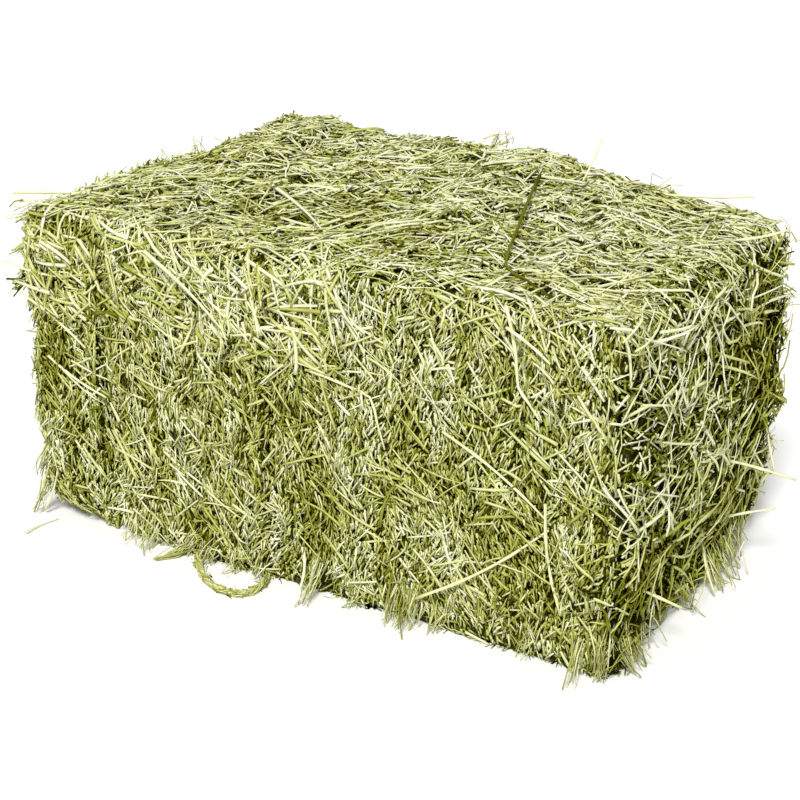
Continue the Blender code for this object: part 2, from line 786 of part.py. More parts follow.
def make_wisp(collection, material, ground):
    """The twisted wisp: a half loop on the ground in front of the bale."""
    x = WISP_MIDDLE - BALE_LENGTH / 2
    points = []
    for step in range(WISP_POINTS):
        angle = math.pi * step / (WISP_POINTS - 1)
        along = x - WISP_WIDTH / 2 * math.cos(angle) + WISP_SKEW * math.sin(angle)
        out = WISP_REACH * math.sin(angle)
        points.append(Vector((along, -BALE_DEPTH / 2 - out, WISP_RADIUS)))
    forward = Vector((0.0, -1.0, 0.0))
    lift = needed_lift(points, forward, WISP_RADIUS, BVHTree.FromBMesh(ground))
    points = [point + forward * lift for point in points]
    make_stalk("bottom_wisp", points, WISP_RADIUS, collection, material)


def centre_on_origin(things):
    """Moves the whole model so that its box is centred over the origin."""
    graph = bpy.context.evaluated_depsgraph_get()
    low = Vector((math.inf, math.inf))
    high = Vector((-math.inf, -math.inf))
    for thing in things:
        evaluated = thing.evaluated_get(graph)
        for vert in evaluated.to_mesh().vertices:
            place = evaluated.matrix_world @ vert.co
            low = Vector((min(low.x, place.x), min(low.y, place.y)))
            high = Vector((max(high.x, place.x), max(high.y, place.y)))
    middle = (low + high) / 2
    holder = bpy.data.objects.new("bale_frame", None)
    bpy.context.scene.collection.objects.link(holder)
    for thing in bpy.data.objects:
        if thing is not holder:
            thing.parent = holder
    holder.location = (-middle.x, -middle.y, 0.0)


def build():
    """Makes the whole bale."""
    clear_scene()
    chance = random.Random(SEED)
    collection = new_collection("square_hay_bale")
    cutters = new_collection("cutters")
    hay = new_material("pressed hay", HAY_COLOUR, 0.85)
    twine = new_material("sisal baling twine", TWINE_COLOUR, 0.8)
    straw = new_material("loose hay stalk", STALK_COLOUR, 0.6)
    slots = [
        make_slot_cutter(f"slot {word}", side, cutters)
        for word, side in (("front", -1.0), ("back", 1.0))
    ]
    flakes = make_flakes(collection, slots, hay, chance)
    make_twine("twine_front", -1.0, collection, cutters, twine)
    make_twine("twine_back", 1.0, collection, cutters, twine)
    ground = bmesh.new()
    for flake in flakes:
        add_to_ground(ground, flake)
    lay_stalks(collection, straw, ground)
    make_wisp(collection, straw, ground)
    ground.free()
    bpy.context.view_layer.update()
    centre_on_origin(list(collection.objects))
    bpy.context.view_layer.update()


build()
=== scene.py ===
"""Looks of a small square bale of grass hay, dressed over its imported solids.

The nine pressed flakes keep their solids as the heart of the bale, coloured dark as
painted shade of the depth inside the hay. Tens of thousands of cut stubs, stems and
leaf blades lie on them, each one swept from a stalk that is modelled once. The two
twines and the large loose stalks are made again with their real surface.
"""
import json
import logging
import math
from dataclasses import dataclass, field
from enum import Enum

import bpy
import numpy as np
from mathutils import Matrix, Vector
from mathutils.bvhtree import BVHTree
from mathutils.kdtree import KDTree

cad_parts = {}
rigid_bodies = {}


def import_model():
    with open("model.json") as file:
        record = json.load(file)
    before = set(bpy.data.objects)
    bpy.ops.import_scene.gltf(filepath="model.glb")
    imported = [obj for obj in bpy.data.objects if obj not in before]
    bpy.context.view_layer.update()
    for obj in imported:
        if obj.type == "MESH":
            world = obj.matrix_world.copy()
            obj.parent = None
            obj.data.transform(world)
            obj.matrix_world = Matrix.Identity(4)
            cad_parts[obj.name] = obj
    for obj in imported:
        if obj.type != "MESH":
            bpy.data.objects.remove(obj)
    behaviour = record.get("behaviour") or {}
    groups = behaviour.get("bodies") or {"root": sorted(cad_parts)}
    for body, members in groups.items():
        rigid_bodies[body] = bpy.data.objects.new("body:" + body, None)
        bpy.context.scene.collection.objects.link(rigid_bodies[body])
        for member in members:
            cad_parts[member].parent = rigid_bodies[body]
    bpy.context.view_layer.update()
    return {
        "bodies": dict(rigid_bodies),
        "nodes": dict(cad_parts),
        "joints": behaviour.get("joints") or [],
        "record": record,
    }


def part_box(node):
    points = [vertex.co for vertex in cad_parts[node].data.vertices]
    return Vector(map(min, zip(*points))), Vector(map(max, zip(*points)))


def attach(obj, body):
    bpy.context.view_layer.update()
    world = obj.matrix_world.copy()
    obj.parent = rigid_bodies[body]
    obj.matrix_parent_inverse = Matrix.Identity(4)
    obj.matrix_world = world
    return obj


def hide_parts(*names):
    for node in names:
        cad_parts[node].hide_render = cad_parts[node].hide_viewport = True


LOG = logging.getLogger("hay_bale")
MM = 0.001

# The pressed block, in metres, and how deep a twine lies in it
BALE_LENGTH = 0.800
BALE_DEPTH = 0.460
BALE_HEIGHT = 0.405
HALF = np.array([BALE_LENGTH, BALE_DEPTH, BALE_HEIGHT]) / 2
TWINE_DEPTH = 0.0085
TWINE_RADIUS = 0.0016
SLOT_HALF_WIDTH = 0.0045

# The map that every stalk is coloured by: across it the kind of hay, in columns from
# green over olive and straw to bleached, and the place along the stalk; up it the
# stalk's tone, its own colour together with painted light and shade
HAY_MAP = "OFBake"
HUE_COLUMNS = 4
TONE_STRIP = 0.006

# Hay lies this much deeper over the seams between the flakes, and this far from them
SEAM_FILL = 0.0045
SEAM_REACH = 0.011

# Shaded and pale streaks of the trimmed side stand upright, squeezed by this much
UPRIGHT_STREAK = 0.28

# Clumps in which the stalks lie one way are about this wide
CLUMP_SPAN = 0.032

# Left of this place, from the bale's middle, straws hang far over the trimmed side
SHAGGY_TO = 0.060

# How wide the zones along the edges are
RIM = 0.060

# Stalks flatter than this lie on their broad side; those that are tilted up more than
# this many degrees stand on their foot
FLAT_BELOW = 0.6
STEEP = 20

# Loose hay thins out this near to the large stalks that lie on it
CLEAR_NEAR = 0.0075
CLEAR_SHARE = 0.8
CLEAR_LIFT = 7.0

# Nothing comes nearer to the floor than this
OFF_FLOOR = 0.0002

# Moves the place at which the noise is read, for a pattern of its own
OTHER_TONE = 3.0
OTHER_WAY = 9.0

# A stalk's turn about itself, any or even all ways, and its twist from end to end, in
# radians; how far stalks stray from their layer's heading, as a share of its spread
ANY_TURN = 6.28
TWIST = 0.5
STRAY = 0.6
SEED = 2026


def linear(colour: str) -> tuple[float, float, float, float]:
    """Turns an sRGB hex colour into a linear one.

    Args:
        colour: six hex digits after a hash mark.

    Returns:
        Red, green, blue and an alpha of 1.
    """
    parts = [int(colour[i:i + 2], 16) / 255.0 for i in (1, 3, 5)]
    made = [p / 12.92 if p <= 0.04045 else ((p + 0.055) / 1.055) ** 2.4 for p in parts]
    return made[0], made[1], made[2], 1.0


def unit(vectors: np.ndarray) -> np.ndarray:
    """Scales each vector of the last axis to length 1."""
    length = np.linalg.norm(vectors, axis=-1, keepdims=True)
    return vectors / np.maximum(length, 1e-12)


class Side(Enum):
    """The sides of the bale: outward, then along and up in the side, seen from outside."""

    FRONT = (0, -1, 0), (1, 0, 0), (0, 0, 1)
    BACK = (0, 1, 0), (-1, 0, 0), (0, 0, 1)
    TOP = (0, 0, 1), (1, 0, 0), (0, 1, 0)
    UNDER = (0, 0, -1), (1, 0, 0), (0, 1, 0)
    LEFT = (-1, 0, 0), (0, -1, 0), (0, 0, 1)
    RIGHT = (1, 0, 0), (0, 1, 0), (0, 0, 1)

    def __init__(self, *axes: tuple[int, int, int]) -> None:
        """Keeps the three axes as arrays."""
        self.outward, self.along, self.up = (np.array(axis, float) for axis in axes)


class Form(Enum):
    """The stalks that are modelled once: corners, rings, taper, swelling of joints."""

    STUB = 3, 2, 0.9, 0.0
    STEM = 3, 3, 0.75, 0.0
    STRAW = 4, 6, 0.7, 0.0
    REED = 7, 11, 0.72, 0.35
    BLADE = 4, 11, 0.30, 0.0
    STRAND = 3, 26, 0.8, 0.0
    BIT = 3, 2, 0.8, 0.0

    def __init__(self, sides: int, rings: int, taper: float, joint: float) -> None:
        """Gives the four values their names."""
        self.sides, self.rings, self.taper, self.joint = sides, rings, taper, joint


def add_node(tree: bpy.types.NodeTree, kind: str, links: dict | None = None,
             **settings: object) -> bpy.types.Node:
    """Adds a shader node with its settings and what feeds it.

    Args:
        tree: the node tree.
        kind: the node's type name.
        links: input name or number to a socket that feeds it or a plain value.
        settings: attributes of the node.

    Returns:
        The new node.
    """
    node = tree.nodes.new(kind)
    for name, value in settings.items():
        setattr(node, name, value)
    for key, value in (links or {}).items():
        socket = node.inputs[key]
        if isinstance(value, bpy.types.NodeSocket):
            tree.links.new(value, socket)
        else:
            socket.default_value = value
    return node


def maths(tree: bpy.types.NodeTree, operation: str, first: object, second: object = 0.0,
          **settings: object) -> bpy.types.NodeSocket:
    """Adds a maths node with two inputs and hands back its result."""
    return add_node(tree, "ShaderNodeMath", {0: first, 1: second}, operation=operation,
                    **settings).outputs[0]


def colour_ramp(tree: bpy.types.NodeTree, factor: bpy.types.NodeSocket,
                stops: tuple[tuple[float, str], ...]) -> bpy.types.NodeSocket:
    """Adds a colour ramp through sRGB stops.

    Args:
        tree: the node tree.
        factor: what the ramp reads.
        stops: places from 0 to 1 with their hex colours.

    Returns:
        The ramp's colour socket.
    """
    ramp = add_node(tree, "ShaderNodeValToRGB", {"Fac": factor})
    band = ramp.color_ramp
    band.elements[0].position, band.elements[0].color = stops[0][0], linear(stops[0][1])
    band.elements[1].position, band.elements[1].color = stops[-1][0], linear(stops[-1][1])
    for place, colour in stops[1:-1]:
        band.elements.new(place).color = linear(colour)
    return ramp.outputs["Color"]


def new_material(name: str) -> tuple[bpy.types.Material, bpy.types.Node]:
    """Makes an empty material with one Principled shader.

    Args:
        name: the material's name.

    Returns:
        The material and its shader node.
    """
    material = bpy.data.materials.new(name)
    material.use_nodes = True
    tree = material.node_tree
    tree.nodes.clear()
    shader = add_node(tree, "ShaderNodeBsdfPrincipled")
    add_node(tree, "ShaderNodeOutputMaterial", {"Surface": shader.outputs["BSDF"]})
    return material, shader


def link_object(name: str, data: bpy.types.ID) -> bpy.types.Object:
    """Stands a mesh, curve, camera or light in the scene."""
    made = bpy.data.objects.new(name, data)
    bpy.context.scene.collection.objects.link(made)
    return made


@dataclass(frozen=True)
class DriedGrassFinish:
    """Grass that was mown, cured in the sun and pressed: matt, deep olive to cream.

    The blotches on its skin are about a quarter of a stalk long, 1.5 to 25 mm.
    """

    name: str = "sun-dried_grass_stem"
    roughness: float = 0.70
    wax: float = 0.0
    blotches: tuple = (18.0, 240.0, 1.0)
    blotch_range: tuple = (0.25, 0.75)
    blotch_shift: float = 0.085
    end_shade: float = -0.30
    # The darkest stops, near black, are painted shade, worn by the deepest stalks
    green: tuple = ((0.0, "#171700"), (0.2, "#414404"), (0.4, "#797f20"),
                    (0.6, "#a6ad4c"), (0.8, "#ced391"), (1.0, "#e4e7c3"))
    straw: tuple = ((0.0, "#1b1a00"), (0.2, "#4a4a08"), (0.4, "#88892c"),
                    (0.6, "#b9ba61"), (0.8, "#dddea8"), (1.0, "#ededd2"))

    def make(self) -> bpy.types.Material:
        """Builds the material; its colour comes only from the hay map.

        Returns:
            The finished material.
        """
        material, shader = new_material(self.name)
        tree = material.node_tree
        place = add_node(tree, "ShaderNodeUVMap", uv_map=HAY_MAP).outputs["UV"]
        parts = add_node(tree, "ShaderNodeSeparateXYZ", {0: place})
        columns = maths(tree, "MULTIPLY", parts.outputs["X"], float(HUE_COLUMNS))
        along = maths(tree, "FRACT", columns)
        hue = maths(tree, "MULTIPLY", columns, 1.0 / (HUE_COLUMNS - 1))
        # The blotches are different on every stalk
        blotch_place = add_node(tree, "ShaderNodeMapping", {
            "Vector": place, "Scale": self.blotches}).outputs[0]
        blotch = add_node(tree, "ShaderNodeTexNoise", {
            "Vector": blotch_place, "Scale": 1.0, "Detail": 2.0}).outputs["Fac"]
        shifted = add_node(tree, "ShaderNodeMapRange", {
            "Value": blotch, "From Min": self.blotch_range[0],
            "From Max": self.blotch_range[1], "To Min": -self.blotch_shift,
            "To Max": self.blotch_shift}).outputs[0]
        # Both ends of a stalk are a little darker
        off_middle = maths(tree, "SUBTRACT", along, 0.5)
        ends = maths(tree, "MULTIPLY", off_middle, off_middle)
        ends = maths(tree, "MULTIPLY", ends, self.end_shade)
        tone = maths(tree, "ADD", parts.outputs["Y"], shifted)
        tone = maths(tree, "ADD", tone, ends, use_clamp=True)
        colour = add_node(tree, "ShaderNodeMix", {
            0: hue, 6: colour_ramp(tree, tone, self.green),
            7: colour_ramp(tree, tone, self.straw)}, data_type="RGBA").outputs[2]
        tree.links.new(colour, shader.inputs["Base Color"])
        shader.inputs["Roughness"].default_value = self.roughness
        shader.inputs["Specular IOR Level"].default_value = self.wax
        return material


@dataclass(frozen=True)
class FibreFinish:
    """A surface of fibres, whose colour and relief both follow one noise: the fibres' own
    tone, with painted shade in the low gaps between them.
    """

    name: str
    fibre_mm: float
    roughness: float
    stops: tuple
    upright: float = 1.0
    ragged: tuple = (0.5, 0.0)
    contrast: tuple = (0.0, 1.0)
    relief: tuple = (0.6, 0.2)
    wax: float = 0.5

    def make(self) -> bpy.types.Material:
        """Builds the material: fibres with gaps between them, in the piece's own place.

        Returns:
            The finished material.
        """
        material, shader = new_material(self.name)
        tree = material.node_tree
        place = add_node(tree, "ShaderNodeTexCoord").outputs["Object"]
        per_metre = 1.0 / (self.fibre_mm * MM)
        stretched = add_node(tree, "ShaderNodeMapping", {
            "Vector": place,
            "Scale": (per_metre, per_metre, per_metre * self.upright)}).outputs[0]
        fibre = add_node(tree, "ShaderNodeTexNoise", {
            "Vector": stretched, "Scale": 1.0, "Detail": 3.0,
            "Roughness": self.ragged[0], "Distortion": self.ragged[1]}).outputs["Fac"]
        spread = add_node(tree, "ShaderNodeMapRange", {
            "Value": fibre, "From Min": self.contrast[0],
            "From Max": self.contrast[1]}).outputs[0]
        # The low gaps of the noise are dark: painted shade between the fibres, over their
        # own tone
        tree.links.new(colour_ramp(tree, spread, self.stops), shader.inputs["Base Color"])
        bump = add_node(tree, "ShaderNodeBump", {
            "Height": fibre, "Strength": self.relief[0],
            "Distance": self.relief[1] * MM}).outputs[0]
        tree.links.new(bump, shader.inputs["Normal"])
        shader.inputs["Roughness"].default_value = self.roughness
        shader.inputs["Specular IOR Level"].default_value = self.wax
        return material


# The heart of a pressed flake: grass that the plunger crushed into upright fibres 2.2 mm
# wide, with deep gaps between them, seen between the stalks on top. Its near-black to
# dark olive colours are painted shade, the shade deep inside the hay
PAINTED_SHADE_HEART = FibreFinish(
    "pressed_hay_heart_painted_shade", 2.2, 0.85,
    ((0.0, "#0d0c00"), (0.35, "#201f03"), (0.6, "#3d3d0e"), (0.8, "#5e6020"),
     (1.0, "#7f8238")),
    upright=0.22, ragged=(0.6, 0.6), contrast=(0.32, 0.70), relief=(0.8, 1.5), wax=0.2)

# Sisal baling twine: pale hard leaf fibres 0.35 mm thick, spun and laid up, dusty
SISAL = FibreFinish("sisal_baling_twine", 0.35, 0.8,
                    ((0.0, "#6a5a2a"), (0.5, "#a8965a"), (1.0, "#d8cb96")))


class Cloud:
    """Smooth noise in space from a seeded lattice, read for many points at once."""

    SIZE = 32

    def __init__(self, seed: int) -> None:
        """Fills the lattice with the pattern that the seed picks."""
        self.lattice = np.random.default_rng(seed).random((self.SIZE,) * 3)

    def at(self, points: np.ndarray, span: float) -> np.ndarray:
        """Reads the noise.

        Args:
            points: places in metres, one a row.
            span: size of one lump in metres.

        Returns:
            A value from 0 to 1 for each place.
        """
        scaled = points / span
        base = np.floor(scaled).astype(int)
        f = scaled - base
        f = f * f * (3.0 - 2.0 * f)
        total = np.zeros(len(points))
        for corner in range(8):
            step = np.array([corner & 1, corner >> 1 & 1, corner >> 2 & 1])
            index = (base + step) % self.SIZE
            weight = np.prod(np.where(step, f, 1.0 - f), axis=1)
            total += weight * self.lattice[index[:, 0], index[:, 1], index[:, 2]]
        return total

    def swing(self, points: np.ndarray, amount: float, span: float) -> np.ndarray:
        """Reads the noise as a change to both sides of zero."""
        return amount * (self.at(points, span) - 0.5)


@dataclass(frozen=True)
class StalkForm:
    """A stalk modelled once: its cross-sections in order, its faces and its map."""

    sections: np.ndarray
    ring: np.ndarray
    faces: np.ndarray
    along: np.ndarray
    round_place: np.ndarray
    JOINT_EVERY = 4
    END_WIDTH = 0.05

    @classmethod
    def model(cls, kind: Form) -> "StalkForm":
        """Models a stalk from a primitive: rings along it, a taper and closed ends.

        Args:
            kind: which stalk.

        Returns:
            The form, one unit long and wide.
        """
        spans = kind.rings - 1
        bpy.ops.object.select_all(action="DESELECT")
        bpy.ops.mesh.primitive_cylinder_add(
            vertices=kind.sides, radius=0.5, depth=1.0, end_fill_type="NGON",
            location=(0.0, 0.0, 0.5))
        made = bpy.context.active_object
        bpy.ops.object.transform_apply(location=True, rotation=True, scale=True)
        bpy.ops.object.mode_set(mode="EDIT")
        for step in range(1, spans):
            bpy.ops.mesh.select_all(action="SELECT")
            bpy.ops.mesh.bisect(
                plane_co=(0.0, 0.0, step / spans), plane_no=(0.0, 0.0, 1.0))
        bpy.ops.mesh.select_all(action="SELECT")
        bpy.ops.mesh.quads_convert_to_tris(quad_method="FIXED", ngon_method="BEAUTY")
        bpy.ops.object.mode_set(mode="OBJECT")
        mesh = made.data
        co = np.array([tuple(v.co) for v in mesh.vertices])
        faces = np.array([tuple(p.vertices) for p in mesh.polygons])
        bpy.data.objects.remove(made)
        bpy.data.meshes.remove(mesh)
        narrow = 1.0 - (1.0 - kind.taper) * co[:, 2]
        sections = co[:, :2] * narrow[:, None]
        ring = np.rint(co[:, 2] * spans).astype(int)
        jointed = (ring % cls.JOINT_EVERY == cls.JOINT_EVERY - 1) & (ring < spans)
        sections = sections * np.where(jointed, 1.0 + kind.joint, 1.0)[:, None]
        angle = np.arctan2(co[:, 1], co[:, 0])
        along = co[:, 2][faces]
        # The faces that close the ends get a little width on the map too
        level = np.ptp(along, axis=1) < 1e-6
        ends = cls.END_WIDTH * np.sin(angle + 0.9)[faces]
        along = along + np.where(level[:, None], ends, 0.0)
        return cls(sections, ring, faces, along, 0.5 + 0.5 * np.cos(angle + 0.4)[faces])


class Zone(Enum):
    """The part of a side that a layer covers."""

    ALL = 0
    FRONT_RIM = 1
    FRONT_LEDGE = 2
    RIGHT_RIM = 3
    OUTER_RIM = 4
    UPPER_LEFT = 5
    UPPER_RIGHT = 6

    def holds(self, local: np.ndarray) -> np.ndarray:
        """Tells which places are in the zone.

        Args:
            local: places from the middle of the block on the ground.

        Returns:
            A mask.
        """
        front = local[:, 1] < RIM - BALE_DEPTH / 2
        back = local[:, 1] > BALE_DEPTH / 2 - RIM / 2
        right = local[:, 0] > BALE_LENGTH / 2 - RIM
        left = local[:, 0] < RIM / 2 - BALE_LENGTH / 2
        shaggy = local[:, 0] < SHAGGY_TO
        below_top = BALE_HEIGHT - local[:, 2]
        masks = {Zone.ALL: front | True, Zone.FRONT_RIM: front & shaggy,
                 Zone.FRONT_LEDGE: front & ~shaggy, Zone.RIGHT_RIM: right,
                 Zone.OUTER_RIM: back ^ left,
                 Zone.UPPER_LEFT: (below_top < 2 * RIM) & shaggy,
                 Zone.UPPER_RIGHT: (below_top < RIM) & ~shaggy}
        return masks[self]


@dataclass(frozen=True)
class Lay:
    """One layer of stalks on one side of the bale; sizes are in millimetres."""

    side: Side
    form: Form
    per_square_metre: float
    length: tuple[float, float]
    width: tuple[float, float]
    heading: float
    spread: float
    tilt: tuple[float, float]
    lift: tuple[float, float]
    # The range of tone; lower layers get darker tones, painted shade of the depth under the
    # stalks above them
    tone: tuple[float, float]
    reach: float = 12.0
    flat: float = 1.0
    ruffle: float = 0.0
    hues: tuple[float, ...] = (0.3, 0.3, 0.25, 0.15)
    sag: float = 0.0
    swerve: float = 0.04
    clump: float = 60.0
    zone: Zone = Zone.ALL


@dataclass(frozen=True)
class LightShadePatch:
    """A soft paler area (painted light, partly bleached hay) or darker area (painted shade),
    in metres from a side's lower left corner.
    """

    along: float
    up: float
    radius: tuple[float, float]
    shift: float


@dataclass
class Stalks:
    """Many stalks of one form: a middle line each and how each is dressed.

    A value that is given once holds for all of them.
    """

    form: StalkForm
    paths: np.ndarray
    out: np.ndarray
    width: np.ndarray
    flat: np.ndarray
    roll: np.ndarray
    twist: np.ndarray
    tone: np.ndarray
    hue: np.ndarray
    SINGLE = ("width", "flat", "roll", "twist", "tone", "hue")

    def __post_init__(self) -> None:
        """Spreads what was given once over all the stalks."""
        count = len(self.paths)
        self.out = np.broadcast_to(np.asarray(self.out, float), (count, 3))
        for name in self.SINGLE:
            value = np.asarray(getattr(self, name), float)
            setattr(self, name, np.broadcast_to(value, (count,)))

    def sweep(self) -> np.ndarray:
        """Sweeps the form's sections along every middle line.

        Returns:
            Corner places, by stalk and corner.
        """
        tangent = unit(np.gradient(self.paths, axis=1))
        side = unit(np.cross(tangent, self.out[:, None, :]))
        through = np.cross(side, tangent)
        ring = self.form.ring
        share = ring / max(ring.max(), 1)
        turn = self.roll[:, None] + self.twist[:, None] * share[None, :]
        x = self.form.sections[None, :, 0] * self.width[:, None]
        y = self.form.sections[None, :, 1] * (self.width * self.flat)[:, None]
        across = (x * np.cos(turn) - y * np.sin(turn))[..., None]
        depth = (x * np.sin(turn) + y * np.cos(turn))[..., None]
        return self.paths[:, ring] + side[:, ring] * across + through[:, ring] * depth

    def map_places(self) -> np.ndarray:
        """Gives every face corner its place on the hay map.

        Returns:
            Map places, by stalk, face and corner.
        """
        u = (self.hue[:, None, None] + 0.08 + 0.84 * self.form.along[None]) / HUE_COLUMNS
        v = self.tone[:, None, None] + TONE_STRIP * self.form.round_place[None]
        return np.stack(np.broadcast_arrays(u, v), axis=-1)

    def part(self, chosen: np.ndarray) -> "Stalks":
        """Takes the stalks that a mask chooses."""
        return Stalks(self.form, *(
            getattr(self, name)[chosen] for name in ("paths", "out", *self.SINGLE)))


def join_stalks(name: str, groups: list[Stalks], material: bpy.types.Material
                ) -> bpy.types.Object:
    """Joins many stalks into one piece.

    Args:
        name: the piece's name.
        groups: stalks of one or more forms.
        material: the material that they all wear.

    Returns:
        The new object, with its place in its mesh.
    """
    corners, faces, places, start = [], [], [], 0
    for group in groups:
        swept = group.sweep()
        count, size = swept.shape[:2]
        offset = start + np.arange(count)[:, None, None] * size
        faces.append((group.form.faces[None] + offset).reshape(-1, 3))
        places.append(group.map_places().reshape(-1, 2))
        corners.append(swept.reshape(-1, 3))
        start += count * size
    corners, faces = np.concatenate(corners), np.concatenate(faces)
    corners[:, 2] = np.maximum(corners[:, 2], OFF_FLOOR)
    mesh = bpy.data.meshes.new(name)
    mesh.vertices.add(len(corners))
    mesh.loops.add(faces.size)
    mesh.polygons.add(len(faces))
    mesh.vertices.foreach_set("co", corners.astype(np.float32).ravel())
    mesh.loops.foreach_set("vertex_index", faces.astype(np.int32).ravel())
    mesh.polygons.foreach_set("loop_start", np.arange(0, faces.size, 3, dtype=np.int32))
    layer = mesh.uv_layers.new(name=HAY_MAP)
    layer.uv.foreach_set("vector", np.concatenate(places).astype(np.float32).ravel())
    mesh.update(calc_edges=True)
    mesh.materials.append(material)
    return link_object(name, mesh)


@dataclass
class Skin:
    """The outside of the pressed flakes, as triangles to lay stalks on."""

    centre: np.ndarray
    corners: np.ndarray
    normals: np.ndarray
    area: np.ndarray
    flake: np.ndarray
    seams: np.ndarray
    tree: BVHTree
    SEAM_WALL = 0.016
    ACROSS = 0.9
    SLOT_MARGIN = 0.0002
    SPECK = 1e-9
    WELD = 2e-4
    DROOP = 0.4

    @staticmethod
    def depth_of(local: np.ndarray) -> np.ndarray:
        """Measures places against the six sides of the plain block.

        Args:
            local: places from the middle of the block on the ground.

        Returns:
            For each place, how far it lies outside each side.
        """
        from_middle = local - np.array([0.0, 0.0, BALE_HEIGHT / 2])
        return np.stack([from_middle @ side.outward - HALF @ abs(side.outward)
                         for side in Side], axis=1)

    def from_seam(self, place: np.ndarray) -> np.ndarray:
        """Measures how far along the bale places lie from the nearest seam."""
        along = (place - self.centre)[:, 0:1]
        return abs(along - self.seams[None, :]).min(axis=1)

    @classmethod
    def read(cls, nodes: dict, centre: np.ndarray, count: int) -> "Skin":
        """Reads the flakes' outer faces from the frame.

        Args:
            nodes: the frame's nodes by name.
            centre: middle of the block on the ground.
            count: how many flakes there are.

        Returns:
            The skin.
        """
        corners, owner, seams = [], [], []
        for index in range(count):
            mesh = nodes[f"flake_{index + 1}"].data
            mesh.calc_loop_triangles()
            co = np.array([tuple(v.co) for v in mesh.vertices])
            tri = np.array([tuple(t.vertices) for t in mesh.loop_triangles])
            placed = co[tri]
            normal = np.cross(placed[:, 1] - placed[:, 0], placed[:, 2] - placed[:, 0])
            size = np.linalg.norm(normal, axis=1) / 2
            normal = unit(normal)
            middle = placed.mean(axis=1) - centre
            depth = cls.depth_of(middle)
            # Upright faces deep in the block are walls of seams. Low at the back of the
            # right end the outer face lies as deep, so it is left out too and stays bare
            across = ((abs(normal[:, 0]) > cls.ACROSS)
                      & (depth.max(axis=1) < -cls.SEAM_WALL))
            high = across & (normal[:, 0] > 0)
            if high.any() and index < count - 1:
                seams.append(np.average(middle[high, 0], weights=size[high]))
            beside = (abs(abs(middle[:, 1]) - BALE_DEPTH / 4)
                      < SLOT_HALF_WIDTH + cls.SLOT_MARGIN)
            keep = ~across & ~beside & (size > cls.SPECK)
            corners.append(placed[keep])
            owner.append(np.full(keep.sum(), index))
        corners = np.concatenate(corners)
        normal = np.cross(corners[:, 1] - corners[:, 0], corners[:, 2] - corners[:, 0])
        area = np.linalg.norm(normal, axis=1) / 2
        keys = np.rint(corners.reshape(-1, 3) / cls.WELD).astype(np.int64)
        _, shared = np.unique(keys, axis=0, return_inverse=True)
        summed = np.zeros((shared.max() + 1, 3))
        np.add.at(summed, shared.ravel(), np.repeat(normal, 3, axis=0))
        smooth = unit(summed[shared.ravel()]).reshape(-1, 3, 3)
        verts = [Vector(p) for p in corners.reshape(-1, 3)]
        polygons = [(i, i + 1, i + 2) for i in range(0, len(verts), 3)]
        tree = BVHTree.FromPolygons(verts, polygons)
        return cls(centre, corners, smooth, area, np.concatenate(owner),
                   np.array(seams), tree)

    def scatter(self, rng: np.random.Generator, side: Side, density: float
                ) -> tuple[np.ndarray, np.ndarray, np.ndarray]:
        """Drops points evenly over one side: the triangles that lie nearest to it.

        Args:
            rng: source of chance.
            side: the side.
            density: points for each square metre.

        Returns:
            Places, smooth normals and the number of the flake under each point.
        """
        depth = self.depth_of(self.corners.mean(axis=1) - self.centre)
        usable = depth.argmax(axis=1) == list(Side).index(side)
        weight = self.area * usable
        count = int(weight.sum() * density)
        pick = rng.choice(len(weight), size=count, p=weight / weight.sum())
        a, b = rng.random(count), rng.random(count)
        over = a + b > 1.0
        a[over], b[over] = 1.0 - a[over], 1.0 - b[over]
        mix = np.stack([1.0 - a - b, a, b], axis=1)[..., None]
        place = (self.corners[pick] * mix).sum(axis=1)
        normal = unit((self.normals[pick] * mix).sum(axis=1))
        return place, normal, self.flake[pick]

    def drape(self, start: np.ndarray, run: np.ndarray, step: np.ndarray, points: int,
              lift: np.ndarray, reach: float, sag: float, turn: np.ndarray) -> np.ndarray:
        """Leads stalks over the flakes, never into them and never far from them.

        Args:
            start: first point of each stalk.
            run: the direction that each sets out in.
            step: distance between the points of each.
            points: how many points each has.
            lift: least height of each above the skin.
            reach: most height that a point keeps.
            sag: how strongly a stalk turns down and follows the skin, from 0 to 1.
            turn: how far each swerves sideways at every step, in radians.

        Returns:
            Middle lines, by stalk and point.
        """
        paths = np.empty((len(start), points, 3))
        for row in range(len(start)):
            spot, way, least = Vector(start[row]), Vector(run[row]), lift[row]
            for point in range(points):
                near, normal, _, away = self.tree.find_nearest(spot)
                height = (spot - near).dot(normal)
                if height < least:
                    spot = near + normal * least
                elif away > reach:
                    spot = near + (spot - near) * (reach / away)
                paths[row, point] = spot
                if sag and point:
                    gone = spot - Vector(paths[row, point - 1])
                    way = (way * (1.0 - sag) + gone.normalized() * sag)
                    way = (way + Vector((0.0, 0.0, -self.DROOP * sag))).normalized()
                way = way + normal.cross(way) * turn[row]
                spot = spot + way * step[row]
        return paths
